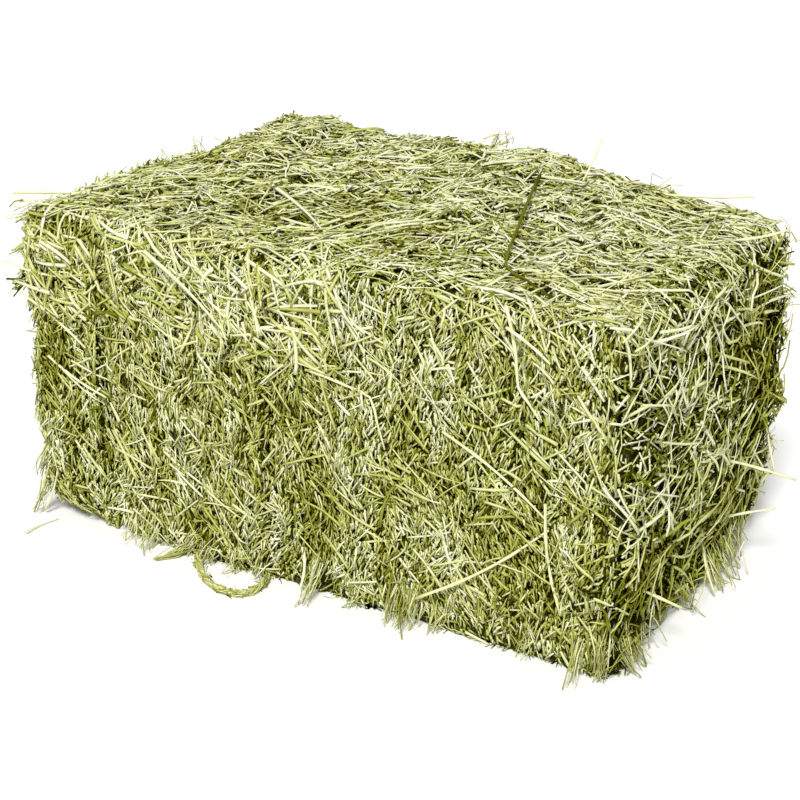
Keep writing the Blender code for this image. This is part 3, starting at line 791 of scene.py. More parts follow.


# Where the hay is painted paler or darker: pale patches, partly bleached hay and partly
# painted light where it falls, and dark patches, painted shade in hollows and at the back
# and foot of the right end; set at first, then steered by the mean brightness of large
# areas of the render against the photo's
LIGHT_AND_SHADE_PATCHES = {
    Side.FRONT: (
        LightShadePatch(0.26, 0.35, (0.10, 0.05), 0.14),
        LightShadePatch(0.44, 0.37, (0.08, 0.05), 0.12),
        LightShadePatch(0.47, 0.20, (0.03, 0.08), 0.08),
        LightShadePatch(0.63, 0.24, (0.03, 0.09), 0.03),
        LightShadePatch(0.77, 0.26, (0.03, 0.07), 0.03),
        LightShadePatch(0.13, 0.30, (0.03, 0.09), -0.04),
        LightShadePatch(0.42, 0.12, (0.025, 0.13), -0.16),
        LightShadePatch(0.33, 0.20, (0.02, 0.10), -0.08),
        LightShadePatch(0.56, 0.16, (0.02, 0.12), -0.08),
        LightShadePatch(0.70, 0.16, (0.06, 0.14), -0.14),
        LightShadePatch(0.04, 0.12, (0.05, 0.08), -0.05),
    ),
    Side.TOP: (
        LightShadePatch(0.40, 0.10, (0.20, 0.12), -0.03),
        LightShadePatch(0.10, 0.28, (0.14, 0.16), -0.07),
        LightShadePatch(0.64, 0.22, (0.14, 0.14), 0.06),
    ),
    Side.RIGHT: (
        LightShadePatch(0.38, 0.24, (0.10, 0.15), -0.33),
        LightShadePatch(0.20, 0.03, (0.30, 0.09), -0.30),
        LightShadePatch(0.05, 0.06, (0.05, 0.10), -0.18),
        LightShadePatch(0.16, 0.14, (0.10, 0.06), -0.08),
        LightShadePatch(0.12, 0.37, (0.12, 0.05), 0.10),
    ),
}

# Shares of green, olive, straw-coloured and bleached stalks
BLEACHED = (0.1, 0.2, 0.3, 0.4)
PALE = (0.15, 0.25, 0.3, 0.3)
PALE_STRAW = (0.1, 0.2, 0.35, 0.35)
EVERY_WAY = 180.0
# Layers that lie lower on a side get darker tones: painted shade of the depth under the
# stalks above them; the highest layers are palest
LAYS = (
    # The trimmed side: short stubs cut by the knife, standing nearly upright
    Lay(Side.FRONT, Form.STUB, 36000, (6, 16), (1.8, 3.2), 90, 32, (-10, 18), (0, 3),
        (0.14, 0.50), ruffle=5.0, clump=90.0),
    Lay(Side.FRONT, Form.STUB, 42000, (5, 17), (1.8, 3.8), 90, 34, (-4, 24), (2.5, 7),
        (0.43, 0.86), ruffle=5.0, flat=0.5, clump=90.0),
    Lay(Side.FRONT, Form.STUB, 13000, (6, 20), (1.9, 3.8), 90, 38, (0, 20), (4, 9),
        (0.64, 0.93), ruffle=4.0, flat=0.5, hues=BLEACHED, clump=90.0),
    Lay(Side.FRONT, Form.STEM, 3000, (16, 44), (1.6, 3.0), 74, 36, (-4, 10), (5, 9),
        (0.56, 0.98), ruffle=2.5, hues=PALE),
    Lay(Side.FRONT, Form.STRAW, 1000, (25, 80), (2.2, 4.6), -42, 26, (-2, 6), (6, 10),
        (0.64, 0.94), ruffle=2.0, flat=0.35, swerve=0.05, hues=BLEACHED),
    Lay(Side.FRONT, Form.STRAW, 600, (22, 66), (2.0, 4.2), 20, 30, (-2, 6), (6, 10),
        (0.58, 0.96), ruffle=2.0, flat=0.35, swerve=0.05, hues=PALE),
    Lay(Side.FRONT, Form.STEM, 9000, (14, 44), (2.0, 4.0), 0, EVERY_WAY, (-6, 12), (4, 8),
        (0.10, 0.66), ruffle=5.0, zone=Zone.UPPER_LEFT),
    Lay(Side.FRONT, Form.STRAW, 6400, (20, 78), (2.9, 6.0), -30, 66, (-2, 10), (7, 13),
        (0.50, 0.92), flat=0.35, swerve=0.05, hues=BLEACHED,
        zone=Zone.UPPER_LEFT),
    Lay(Side.FRONT, Form.STRAW, 2800, (18, 60), (2.0, 4.4), -60, 56, (-2, 8), (6, 11),
        (0.56, 1.00), flat=0.35, swerve=0.05, hues=BLEACHED,
        zone=Zone.UPPER_RIGHT),
    # The top: long stems that the plunger has brushed along the bale
    Lay(Side.TOP, Form.STEM, 9000, (16, 42), (1.8, 3.4), 34, 110, (-6, 10), (-1, 2),
        (0.04, 0.38), ruffle=6.0),
    Lay(Side.TOP, Form.STEM, 12500, (12, 42), (1.8, 3.6), 34, 96, (-6, 16), (3, 8),
        (0.40, 0.94), ruffle=7.0),
    Lay(Side.TOP, Form.STEM, 3600, (20, 80), (2.0, 4.2), 32, 66, (-3, 9), (6, 11),
        (0.74, 1.00), ruffle=3.0, flat=0.7, hues=PALE),
    Lay(Side.TOP, Form.STRAW, 1900, (22, 90), (2.6, 5.4), 34, 62, (-1, 8), (6, 11),
        (0.76, 1.00), ruffle=3.0, flat=0.35, swerve=0.09, hues=PALE),
    Lay(Side.TOP, Form.STUB, 26000, (5, 16), (1.8, 3.6), 0, EVERY_WAY, (-5, 34), (2, 10),
        (0.22, 1.00), ruffle=7.0),
    # Pale stems that hang from the top over the trimmed side
    Lay(Side.TOP, Form.STRAW, 3800, (30, 95), (2.8, 5.8), -52, 50, (0, 6), (5, 10),
        (0.60, 1.00), reach=10.0, flat=0.35, hues=PALE_STRAW, sag=0.75,
        zone=Zone.FRONT_RIM),
    Lay(Side.TOP, Form.STRAW, 4200, (30, 110), (2.4, 5.2), 4, 36, (0, 6), (5, 10),
        (0.62, 0.96), reach=10.0, flat=0.35, hues=PALE_STRAW, sag=0.3,
        zone=Zone.FRONT_LEDGE),
    Lay(Side.TOP, Form.STRAW, 2600, (30, 85), (1.8, 4.2), -10, 60, (0, 10), (4, 10),
        (0.60, 1.00), reach=12.0, flat=0.4, hues=(0.2, 0.3, 0.3, 0.2), sag=0.6,
        zone=Zone.RIGHT_RIM),
    Lay(Side.TOP, Form.STEM, 1800, (25, 70), (1.3, 2.6), 0, EVERY_WAY, (4, 30), (2, 6),
        (0.45, 0.95), reach=16.0, zone=Zone.OUTER_RIM),
    # The ends: open hay that the twines don't press flat
    Lay(Side.RIGHT, Form.STEM, 9500, (20, 60), (1.9, 3.6), 0, EVERY_WAY, (-5, 12),
        (-3, 1), (0.00, 0.16), ruffle=8.0),
    Lay(Side.RIGHT, Form.STEM, 8500, (14, 66), (1.8, 3.8), 10, 80, (-2, 20),
        (3, 11), (0.16, 0.96), ruffle=14.0, reach=16.0),
    Lay(Side.RIGHT, Form.STRAW, 2700, (22, 110), (2.2, 5.0), 0, 84, (2, 24),
        (6, 15), (0.72, 1.00), ruffle=9.0, reach=20.0, flat=0.45, swerve=0.05,
        hues=(0.25, 0.3, 0.3, 0.15)),
    Lay(Side.RIGHT, Form.STUB, 15000, (6, 20), (1.7, 3.4), 0, EVERY_WAY, (-5, 34),
        (2, 12), (0.05, 0.95), ruffle=12.0),
    Lay(Side.LEFT, Form.STEM, 9500, (25, 70), (1.8, 3.2), 0, EVERY_WAY, (-5, 12),
        (-1, 3), (0.06, 0.36), ruffle=6.0),
    Lay(Side.LEFT, Form.STEM, 10500, (25, 90), (1.4, 2.9), 0, EVERY_WAY, (-2, 14),
        (2, 9), (0.34, 0.86), ruffle=6.0, reach=15.0),
    Lay(Side.LEFT, Form.STEM, 4400, (30, 105), (1.4, 3.0), 0, EVERY_WAY, (0, 18),
        (5, 12), (0.66, 1.00), ruffle=4.0, reach=18.0),
    Lay(Side.LEFT, Form.STUB, 13000, (6, 18), (1.4, 2.7), 0, EVERY_WAY, (-5, 40),
        (2, 10), (0.20, 0.92), ruffle=5.0),
    # The back: the folded side, where the stalks turn round inside the flake
    Lay(Side.BACK, Form.STEM, 9500, (16, 42), (1.7, 3.2), 90, 36, (-4, 12), (0, 3),
        (0.10, 0.46), ruffle=5.0),
    Lay(Side.BACK, Form.STEM, 10500, (14, 50), (1.5, 2.9), 90, 40, (0, 16), (2.5, 8),
        (0.40, 0.94), ruffle=5.0),
    Lay(Side.BACK, Form.STUB, 11000, (6, 16), (1.5, 2.8), 90, 46, (0, 30), (3, 8),
        (0.35, 1.00), ruffle=4.0),
    # The underside: stalks crushed level by the bale's own weight
    Lay(Side.UNDER, Form.STEM, 3200, (30, 80), (1.3, 2.4), 0, 45, (0, 0), (0.8, 1.6),
        (0.28, 0.72)),
)


@dataclass
class Thatch:
    """All the stalks that make up the bale's surface, layer by layer.

    Each pair is a change of tone and the span in metres of what causes it.
    """

    skin: Skin
    forms: dict[Form, StalkForm]
    rng: np.random.Generator
    cloud: Cloud
    large_stalks: KDTree
    lumps: tuple[float, float] = (0.20, 0.060)
    streaks: tuple[float, float] = (0.40, 0.017)
    mottle: tuple[float, float] = (0.18, 0.022)
    seam_shade: tuple[float, float] = (0.06, 0.007)
    # Low clumps of stalks are painted darker and high ones paler by this much: painted shade
    # between the clumps, over this span
    clump_depth_shade: tuple[float, float] = (0.26, 0.013)
    tone_limits: tuple[float, float] = (0.03, 0.985)
    flake_shade: float = 0.02
    flat_roll: float = 0.45
    flat_roll_top: float = 0.9
    mostly_short: float = 1.6
    foot: tuple[float, float] = (0.15, 0.5)
    least_share: float = 0.6
    least_lift: float = 0.0004
    flake_tone: np.ndarray = field(init=False)

    def __post_init__(self) -> None:
        """Gives every flake a shade of its own."""
        count = len(self.skin.seams) + 1
        self.flake_tone = self.rng.uniform(-self.flake_shade, self.flake_shade, count)

    def tone_at(self, side: Side, place: np.ndarray) -> np.ndarray:
        """Adds up what makes hay paler or darker at a place.

        Args:
            side: the side of the bale.
            place: places on it.

        Returns:
            The change of tone.
        """
        change = self.cloud.swing(place, *self.lumps)
        if side in (Side.FRONT, Side.BACK):
            upright = place * np.array([1.0, 1.0, UPRIGHT_STREAK])
            change += self.cloud.swing(upright + OTHER_TONE, *self.streaks)
            shade, span = self.seam_shade
            change -= shade * np.exp(-(self.skin.from_seam(place) / span) ** 2)
        else:
            change += self.cloud.swing(place + OTHER_TONE, *self.mottle)
        from_middle = (place - self.skin.centre) - np.array([0.0, 0.0, BALE_HEIGHT / 2])
        along = from_middle @ side.along + HALF @ abs(side.along)
        up = from_middle @ side.up + HALF @ abs(side.up)
        # Pale patches are painted light and partly bleached hay; dark ones are painted shade
        for patch in LIGHT_AND_SHADE_PATCHES.get(side, ()):
            away = ((along - patch.along) / patch.radius[0]) ** 2
            away += ((up - patch.up) / patch.radius[1]) ** 2
            change += patch.shift * np.exp(-away)
        return change

    def roll(self, layer: Lay, count: int) -> np.ndarray:
        """Turns stalks about themselves: round ones any way, flat ones broad side out.

        Args:
            layer: what is laid.
            count: how many stalks.

        Returns:
            The turn of each in radians.
        """
        if layer.flat < FLAT_BELOW:
            top = layer.side is Side.TOP
            spread = self.flat_roll_top if top else self.flat_roll
            return self.rng.normal(0.0, spread, count)
        return self.rng.uniform(0.0, 2.0 * np.pi, count)

    def lay(self, layer: Lay) -> tuple[Stalks, np.ndarray]:
        """Lays one layer of stalks.

        Args:
            layer: what to lay.

        Returns:
            The stalks, and the flake under each.
        """
        rng, points = self.rng, layer.form.rings
        place, normal, flake = self.skin.scatter(rng, layer.side, layer.per_square_metre)
        held = layer.zone.holds(place - self.skin.centre)
        if layer.lift[1] > CLEAR_LIFT:
            away = np.array([self.large_stalks.find(spot)[2] for spot in place])
            held &= (away > CLEAR_NEAR) | (rng.random(len(place)) > CLEAR_SHARE)
        place, normal, flake = place[held], normal[held], flake[held]
        count = len(place)
        depth_shade, clump_span = self.clump_depth_shade
        clump = self.cloud.swing(place, 1.0, clump_span)
        lift = rng.uniform(*layer.lift, count) * MM
        ruffled = lift + layer.ruffle * MM * clump
        if layer.side in (Side.FRONT, Side.BACK):
            near = self.skin.from_seam(place)
            ruffled += SEAM_FILL * np.exp(-(near / SEAM_REACH) ** 2)
        sway = self.cloud.swing(place + OTHER_WAY, layer.clump, CLUMP_SPAN)
        angle = np.radians(layer.heading + sway + rng.normal(0, STRAY, count) * layer.spread)
        if not layer.sag:
            angle += np.pi * (rng.random(count) < 0.5)
        run = (layer.side.along * np.cos(angle)[:, None]
               + layer.side.up * np.sin(angle)[:, None])
        run = unit(run - normal * (run * normal).sum(axis=1, keepdims=True))
        tilt = np.radians(rng.uniform(*layer.tilt, count))[:, None]
        run = run * np.cos(tilt) + normal * np.sin(tilt)
        short, long = layer.length
        length = rng.uniform(0, 1, count) ** self.mostly_short
        length = (short + (long - short) * length) * MM
        begin = rng.uniform(*self.foot, count) if layer.tilt[1] > STEEP else 0.5
        base = place + normal * ruffled[:, None]
        start = base - run * (length * begin * (not layer.sag))[:, None]
        if points > 2:
            least = np.maximum(lift * self.least_share, self.least_lift)
            paths = self.skin.drape(start, run, length / (points - 1), points, least,
                                    layer.reach * MM, layer.sag,
                                    rng.normal(0, layer.swerve, count))
        else:
            paths = np.stack([start, start + run * length[:, None]], axis=1)
        tone = rng.uniform(*layer.tone, count) + self.tone_at(layer.side, place)
        # Stalks that a clump lowers are painted darker, as shade between clumps
        tone += depth_shade * clump + self.flake_tone[flake]
        hue = rng.choice(HUE_COLUMNS, size=count, p=layer.hues)
        made = Stalks(
            self.forms[layer.form], paths, normal, rng.uniform(*layer.width, count) * MM,
            layer.flat, self.roll(layer, count), rng.normal(0, TWIST, count),
            np.clip(tone, *self.tone_limits), hue)
        return made, flake


def smooth_path(knots: np.ndarray, count: int) -> np.ndarray:
    """Draws a smooth line through knots.

    Args:
        knots: places in order.
        count: how many points the line gets.

    Returns:
        Points along a Catmull-Rom curve through the knots.
    """
    padded = np.vstack([2 * knots[0] - knots[1], knots, 2 * knots[-1] - knots[-2]])
    share = np.linspace(0, len(knots) - 1, count)
    index = np.minimum(share.astype(int), len(knots) - 2)
    t = (share - index)[:, None]
    a, b, c, d = (padded[index + i] for i in range(4))
    return 0.5 * (2 * b + (c - a) * t + (2 * a - 5 * b + 4 * c - d) * t ** 2
                  + (3 * b - a - 3 * c + d) * t ** 3)


@dataclass(frozen=True)
class LooseStalk:
    """One of the large stalks that lie on the bale, read from its own solid."""

    name: str
    ring_gap: float = 0.009
    on_hay: float = 0.004
    leaning: tuple[float, float, float] = (0.2, -0.7, 0.68)
    dark_names: tuple[str, ...] = ("top_stem_jointed", "right_blade_hanging")
    dark_raise: float = 2.2
    dark_tone: float = 0.30
    pale_tone: tuple[float, float] = (0.84, 0.95)
    stem_width: float = 2.3
    blade_width: float = 3.0
    blade_flat: float = 0.30
    turned: float = 0.25
    twisted: float = 0.4

    def middle_line(self, node: bpy.types.Object) -> tuple[np.ndarray, float]:
        """Finds the stalk's middle line and half width.

        Args:
            node: the stalk's solid.

        Returns:
            The middles of its rings from end to end, and their radius.
        """
        corners = np.array([tuple(v.co) for v in node.data.vertices])
        places = np.unique(corners.round(6), axis=0)
        rings = []
        left = list(range(len(places)))
        while left:
            first = places[left[0]]
            near = [i for i in left if np.linalg.norm(places[i] - first) < self.ring_gap]
            rings.append(places[near])
            left = [i for i in left if i not in near]
        middles = np.array([ring.mean(axis=0) for ring in rings])
        radius = float(np.mean([np.linalg.norm(ring - ring.mean(axis=0), axis=1).mean()
                                for ring in rings]))
        apart = np.linalg.norm(middles[:, None] - middles[None], axis=2)
        order = [int(np.unravel_index(apart.argmax(), apart.shape)[0])]
        while len(order) < len(middles):
            away = apart[order[-1]].copy()
            away[order] = np.inf
            order.append(int(away.argmin()))
        return middles[order], radius

    def dress(self, node: bpy.types.Object, rng: np.random.Generator,
              forms: dict[Form, StalkForm]) -> Stalks:
        """Makes the stalk again with joints, or as a folded leaf blade.

        Args:
            node: the stalk's solid.
            rng: source of chance.
            forms: the modelled forms.

        Returns:
            One stalk.
        """
        line, radius = self.middle_line(node)
        blade = "blade" in self.name
        kind = Form.BLADE if blade else Form.REED
        dark = self.name in self.dark_names
        side = self.name.split("_")[0].upper()
        outward = Side[side].outward if side in Side.__members__ else Side.TOP.outward
        raised = self.on_hay if side in ("TOP", "FRONT") else 0.0
        raised *= self.dark_raise if dark else 1.0
        path = smooth_path(line, kind.rings) + outward * raised
        return Stalks(
            forms[kind], path[None], self.leaning if side == "TOP" else outward,
            radius * (self.blade_width if blade else self.stem_width),
            self.blade_flat if blade else 1.0, rng.uniform(-self.turned, self.turned),
            rng.uniform(-self.twisted, self.twisted) if blade else 0.0,
            self.dark_tone if dark else rng.uniform(*self.pale_tone),
            1.0 if dark else rng.integers(1, HUE_COLUMNS))


@dataclass(frozen=True)
class Tuft:
    """A fan of stems that stands out, in millimetres from the bale's left front foot."""

    root: tuple[float, float, float]
    tip: tuple[float, float, float]
    stems: int
    fan: float = 12.0
    width: tuple[float, float] = (1.3, 2.8)
    tone: tuple[float, float] = (0.45, 0.98)
    ROOT_FAN = 0.8
    TIP_FAN = 0.6
    REACH = (0.55, 1.08)
    BOW = 3.0
    LOWEST = 0.0012
    FLAT = 0.6

    def lay(self, corner: np.ndarray, rng: np.random.Generator, form: StalkForm) -> Stalks:
        """Lays the tuft's stems.

        Args:
            corner: the block's left front foot in the frame.
            rng: source of chance.
            form: the form of its stems.

        Returns:
            The stems.
        """
        count, points = self.stems, int(form.ring.max()) + 1
        root, tip = (corner + np.array(p) * MM for p in (self.root, self.tip))
        starts = root + rng.normal(0, self.fan * self.ROOT_FAN * MM, (count, 3))
        ends = tip + rng.normal(0, self.fan * self.TIP_FAN * MM, (count, 3))
        ends = starts + (ends - starts) * rng.uniform(*self.REACH, (count, 1))
        share = np.linspace(0, 1, points)[None, :, None]
        paths = starts[:, None] * (1 - share) + ends[:, None] * share
        bow = rng.normal(0, self.BOW * MM, (count, 1, 3))
        paths = paths + bow * (4 * share * (1 - share))
        paths[..., 2] = np.maximum(paths[..., 2], self.LOWEST)
        return Stalks(
            form, paths, Side.TOP.outward, rng.uniform(*self.width, count) * MM,
            self.FLAT, rng.uniform(0, 2 * np.pi, count), rng.normal(0, TWIST, count),
            rng.uniform(*self.tone, count), rng.integers(0, HUE_COLUMNS, count))


# Where stems hang out along the foot of the bale and stand off its edges: mostly
# placed where the photo's outline lay outside that of the render
TUFTS = (
    Tuft((170, 14, 40), (180, -32, 2), 18),
    Tuft((150, 14, 34), (148, -22, 2), 14),
    Tuft((232, -2, 9), (208, -42, 3), 22, fan=4),
    Tuft((236, 8, 28), (232, -14, 2), 20, fan=9),
    Tuft((266, 8, 26), (270, -18, 2), 24),
    Tuft((302, 8, 26), (306, -16, 2), 24),
    Tuft((338, 8, 26), (344, -16, 2), 22),
    Tuft((425, 12, 46), (427, -38, 2), 20, fan=8),
    Tuft((480, 10, 34), (479, -18, 2), 16),
    Tuft((536, 10, 34), (538, -24, 2), 24),
    Tuft((552, 12, 44), (560, -34, 2), 26),
    Tuft((590, 10, 30), (588, -16, 2), 16),
    Tuft((700, 10, 40), (702, -12, 2), 20),
    Tuft((765, 10, 50), (772, -34, 2), 22, fan=9),
    Tuft((792, 4, 60), (796, -12, 2), 34),
    Tuft((794, 26, 56), (822, 22, 3), 26, fan=9),
    Tuft((796, 52, 46), (820, 52, 3), 24, fan=12),
    Tuft((796, 84, 50), (810, 88, 3), 18, fan=14),
    Tuft((796, 182, 46), (818, 186, 2), 26, fan=14),
    Tuft((798, 262, 40), (832, 248, 3), 26, fan=13),
    Tuft((798, 290, 46), (824, 284, 2), 28, fan=16),
    Tuft((798, 320, 52), (816, 312, 3), 24, fan=16),
    Tuft((796, 352, 60), (808, 346, 8), 18, fan=16),
    Tuft((8, 6, 60), (-6, -20, 4), 18, fan=8),
    Tuft((12, 4, 104), (-1, -14, 58), 16, fan=7),
    Tuft((794, 450, 300), (808, 474, 298), 22, fan=15),
    Tuft((794, 450, 262), (806, 472, 260), 18, fan=13),
    Tuft((794, 450, 172), (806, 470, 166), 16, fan=13),
    Tuft((800, 426, 126), (814, 438, 120), 12),
    Tuft((800, 400, 330), (826, 410, 326), 8, fan=16),
    Tuft((800, 440, 376), (808, 450, 384), 10),
    Tuft((10, 20, 395), (-26, 4, 392), 24),
    Tuft((6, 60, 380), (-24, 60, 384), 10),
    Tuft((6, 10, 360), (-14, -16, 350), 10, fan=7),
    Tuft((10, 165, 392), (-2, 168, 408), 8),
    Tuft((12, 218, 394), (0, 222, 413), 12),
    Tuft((12, 258, 394), (0, 262, 416), 14),
    Tuft((14, 334, 392), (0, 338, 416), 16),
    Tuft((14, 390, 392), (2, 392, 412), 10),
    Tuft((404, 446, 440), (412, 466, 452), 20),
    Tuft((620, 448, 410), (644, 470, 420), 10),
)


@dataclass(frozen=True)
class Wisp:
    """The twisted wisp that hangs out of the front foot: a rope of fine stems."""

    strands: int = 40
    turns: float = 2.6
    spread: float = 0.0044
    wander: float = 0.35
    swell: float = 0.25
    swells: float = 9
    inmost: float = 0.15
    strand_twist: float = 2.0
    flat: float = 0.7
    width: tuple[float, float] = (1.3, 2.6)
    tone: tuple[float, float] = (0.42, 0.90)
    bits: int = 150
    bit_half: tuple[float, float] = (2.5, 6.0)
    bit_width: tuple[float, float] = (1.4, 2.8)
    bit_tone: tuple[float, float] = (0.30, 0.95)
    bit_steps: int = 400
    bit_spread: float = 0.55
    bit_stray: float = 0.008
    bit_base: int = 20

    def lay(self, line: np.ndarray, rng: np.random.Generator, form: StalkForm) -> Stalks:
        """Winds the strands round the wisp's middle line.

        Args:
            line: the middle line.
            rng: source of chance.
            form: a long fine form.

        Returns:
            The strands.
        """
        points = int(form.ring.max()) + 1
        path = smooth_path(line, points)
        tangent = unit(np.gradient(path, axis=0))
        side = unit(np.cross(tangent, Side.TOP.outward))
        up = np.cross(side, tangent)
        share = np.linspace(0, 1, points)
        count = self.strands
        phase = rng.uniform(0, 2 * np.pi, (count, 1))
        angle = phase + 2 * np.pi * self.turns * share
        angle = angle + rng.normal(0, self.wander, (count, points))
        away = self.spread * np.sqrt(rng.uniform(self.inmost, 1, (count, 1)))
        away = away * (1 + self.swell * np.sin(self.swells * share + phase))
        paths = (path[None] + side[None] * (np.cos(angle) * away)[..., None]
                 + up[None] * (np.sin(angle) * away)[..., None])
        return Stalks(
            form, paths, Side.TOP.outward, rng.uniform(*self.width, count) * MM,
            self.flat, rng.uniform(0, ANY_TURN, count),
            rng.normal(0, self.strand_twist, count), rng.uniform(*self.tone, count),
            rng.integers(1, HUE_COLUMNS, count))

    def chaff(self, line: np.ndarray, rng: np.random.Generator, form: StalkForm) -> Stalks:
        """Catches short broken bits between the strands.

        Args:
            line: the middle line.
            rng: source of chance.
            form: a short form.

        Returns:
            The bits.
        """
        count, steps = self.bits, self.bit_steps
        path = smooth_path(line, steps)
        middle = path[rng.integers(2, steps - 2, count)]
        middle = middle + rng.normal(0, self.bit_spread * self.spread, (count, 3))
        run = path[steps // 2] - path[steps // 2 - self.bit_base]
        along = unit(run + rng.normal(0, self.bit_stray, (count, 3)))
        half = along * rng.uniform(*self.bit_half, (count, 1)) * MM
        return Stalks(
            form, np.stack([middle - half, middle + half], axis=1), Side.TOP.outward,
            rng.uniform(*self.bit_width, count) * MM, self.flat,
            rng.uniform(0, ANY_TURN, count), 0.0, rng.uniform(*self.bit_tone, count),
            rng.integers(0, HUE_COLUMNS, count))


@dataclass(frozen=True)
class Twine:
    """One three-ply sisal twine, tight round the bale and knotted at its left end."""

    side: float
    corner_radius: float = 0.040
    ply_radius: float = 0.00085
    ply_offset: float = 0.00082
    lay_length: float = 0.011
    step: float = 0.0028
    knot_height: float = 0.285
    knot_off: float = 0.0018
    knot_radius: float = 0.0026
    knot_length: float = 0.009
    tail_length: float = 0.034
    tails: tuple = ((0.45, 0.003), (0.75, -0.003))
    CORNER_STEPS = 12

    def ring(self, centre: np.ndarray) -> np.ndarray:
        """Works out the twine's middle line, a rounded upright rectangle.

        Args:
            centre: middle of the block on the ground.

        Returns:
            Evenly spaced points, the last one a step before the first.
        """
        half = BALE_LENGTH / 2 - TWINE_DEPTH
        low, high, r = TWINE_DEPTH, BALE_HEIGHT - TWINE_DEPTH, self.corner_radius
        corners = ((half - r, high - r, 0.0), (r - half, high - r, 0.5),
                   (r - half, low + r, 1.0), (half - r, low + r, 1.5))
        steps = [step / (2 * self.CORNER_STEPS) for step in range(self.CORNER_STEPS + 1)]
        outline = [(x + r * math.cos(math.pi * (turn + step)),
                    z + r * math.sin(math.pi * (turn + step)))
                   for x, z, turn in corners for step in steps]
        outline = np.array(outline + outline[:1])
        apart = np.linalg.norm(np.diff(outline, axis=0), axis=1)
        gone = np.concatenate([[0], np.cumsum(apart)])
        at = np.linspace(0, gone[-1], int(gone[-1] / self.step), endpoint=False)
        x, z = (np.interp(at, gone, outline[:, i]) for i in (0, 1))
        y = np.full(len(at), self.side * BALE_DEPTH / 4)
        return np.stack([x, y, z], axis=1) + centre

    def knot_lines(self, centre: np.ndarray) -> list[np.ndarray]:
        """Draws the knot: two and a half tight turns and two cut tails.

        Args:
            centre: middle of the block on the ground.

        Returns:
            The lines of the turns and of each tail.
        """
        heart = centre + np.array([TWINE_DEPTH - BALE_LENGTH / 2 - self.knot_off,
                                   self.side * BALE_DEPTH / 4, self.knot_height])
        share = np.linspace(0, 1, 40)
        angle = share * 5 * np.pi
        turns = heart + np.stack([
            self.knot_radius * np.cos(angle), self.knot_radius * np.sin(angle),
            self.knot_length * (share - 0.5)], axis=1)
        tails = []
        reach = np.linspace(0, self.tail_length, 10)
        for lean, sway in self.tails:
            tails.append(heart + np.stack([
                -reach * math.sin(lean), sway * (reach / self.tail_length) ** 2,
                -reach * math.cos(lean)], axis=1))
        return [turns, *tails]

    def make(self, name: str, centre: np.ndarray, material: bpy.types.Material
             ) -> bpy.types.Object:
        """Lays up the three plies and ties the knot.

        Args:
            name: the piece's name.
            centre: middle of the block on the ground.
            material: the sisal.

        Returns:
            The new piece.
        """
        path = self.ring(centre)
        tangent = unit(np.roll(path, -1, axis=0) - np.roll(path, 1, axis=0))
        side = np.array([0.0, 1.0, 0.0])
        up = np.cross(tangent, side)
        turns = round(len(path) * self.step / self.lay_length)
        angle = np.linspace(0, 2 * np.pi * turns, len(path), endpoint=False)
        curve = bpy.data.curves.new(name, "CURVE")
        curve.dimensions = "3D"
        curve.bevel_depth = self.ply_radius
        curve.bevel_resolution = 1
        curve.use_fill_caps = True
        lines = []
        for ply in range(3):
            turned = angle + 2 * np.pi * ply / 3
            lines.append((path + self.ply_offset * (
                np.cos(turned)[:, None] * side + np.sin(turned)[:, None] * up), True))
        lines += [(line, False) for line in self.knot_lines(centre)]
        for line, closed in lines:
            spline = curve.splines.new("POLY")
            spline.points.add(len(line) - 1)
            places = np.column_stack([line, np.ones(len(line))])
            spline.points.foreach_set("co", places.ravel())
            spline.use_cyclic_u = closed
            spline.use_smooth = True
        twine = link_object(name, curve)
        bpy.ops.object.select_all(action="DESELECT")
        bpy.context.view_layer.objects.active = twine
        twine.select_set(True)
        bpy.ops.object.convert(target="MESH")
        twine = bpy.context.active_object
        twine.data.materials.clear()
        twine.data.materials.append(material)
        return twine


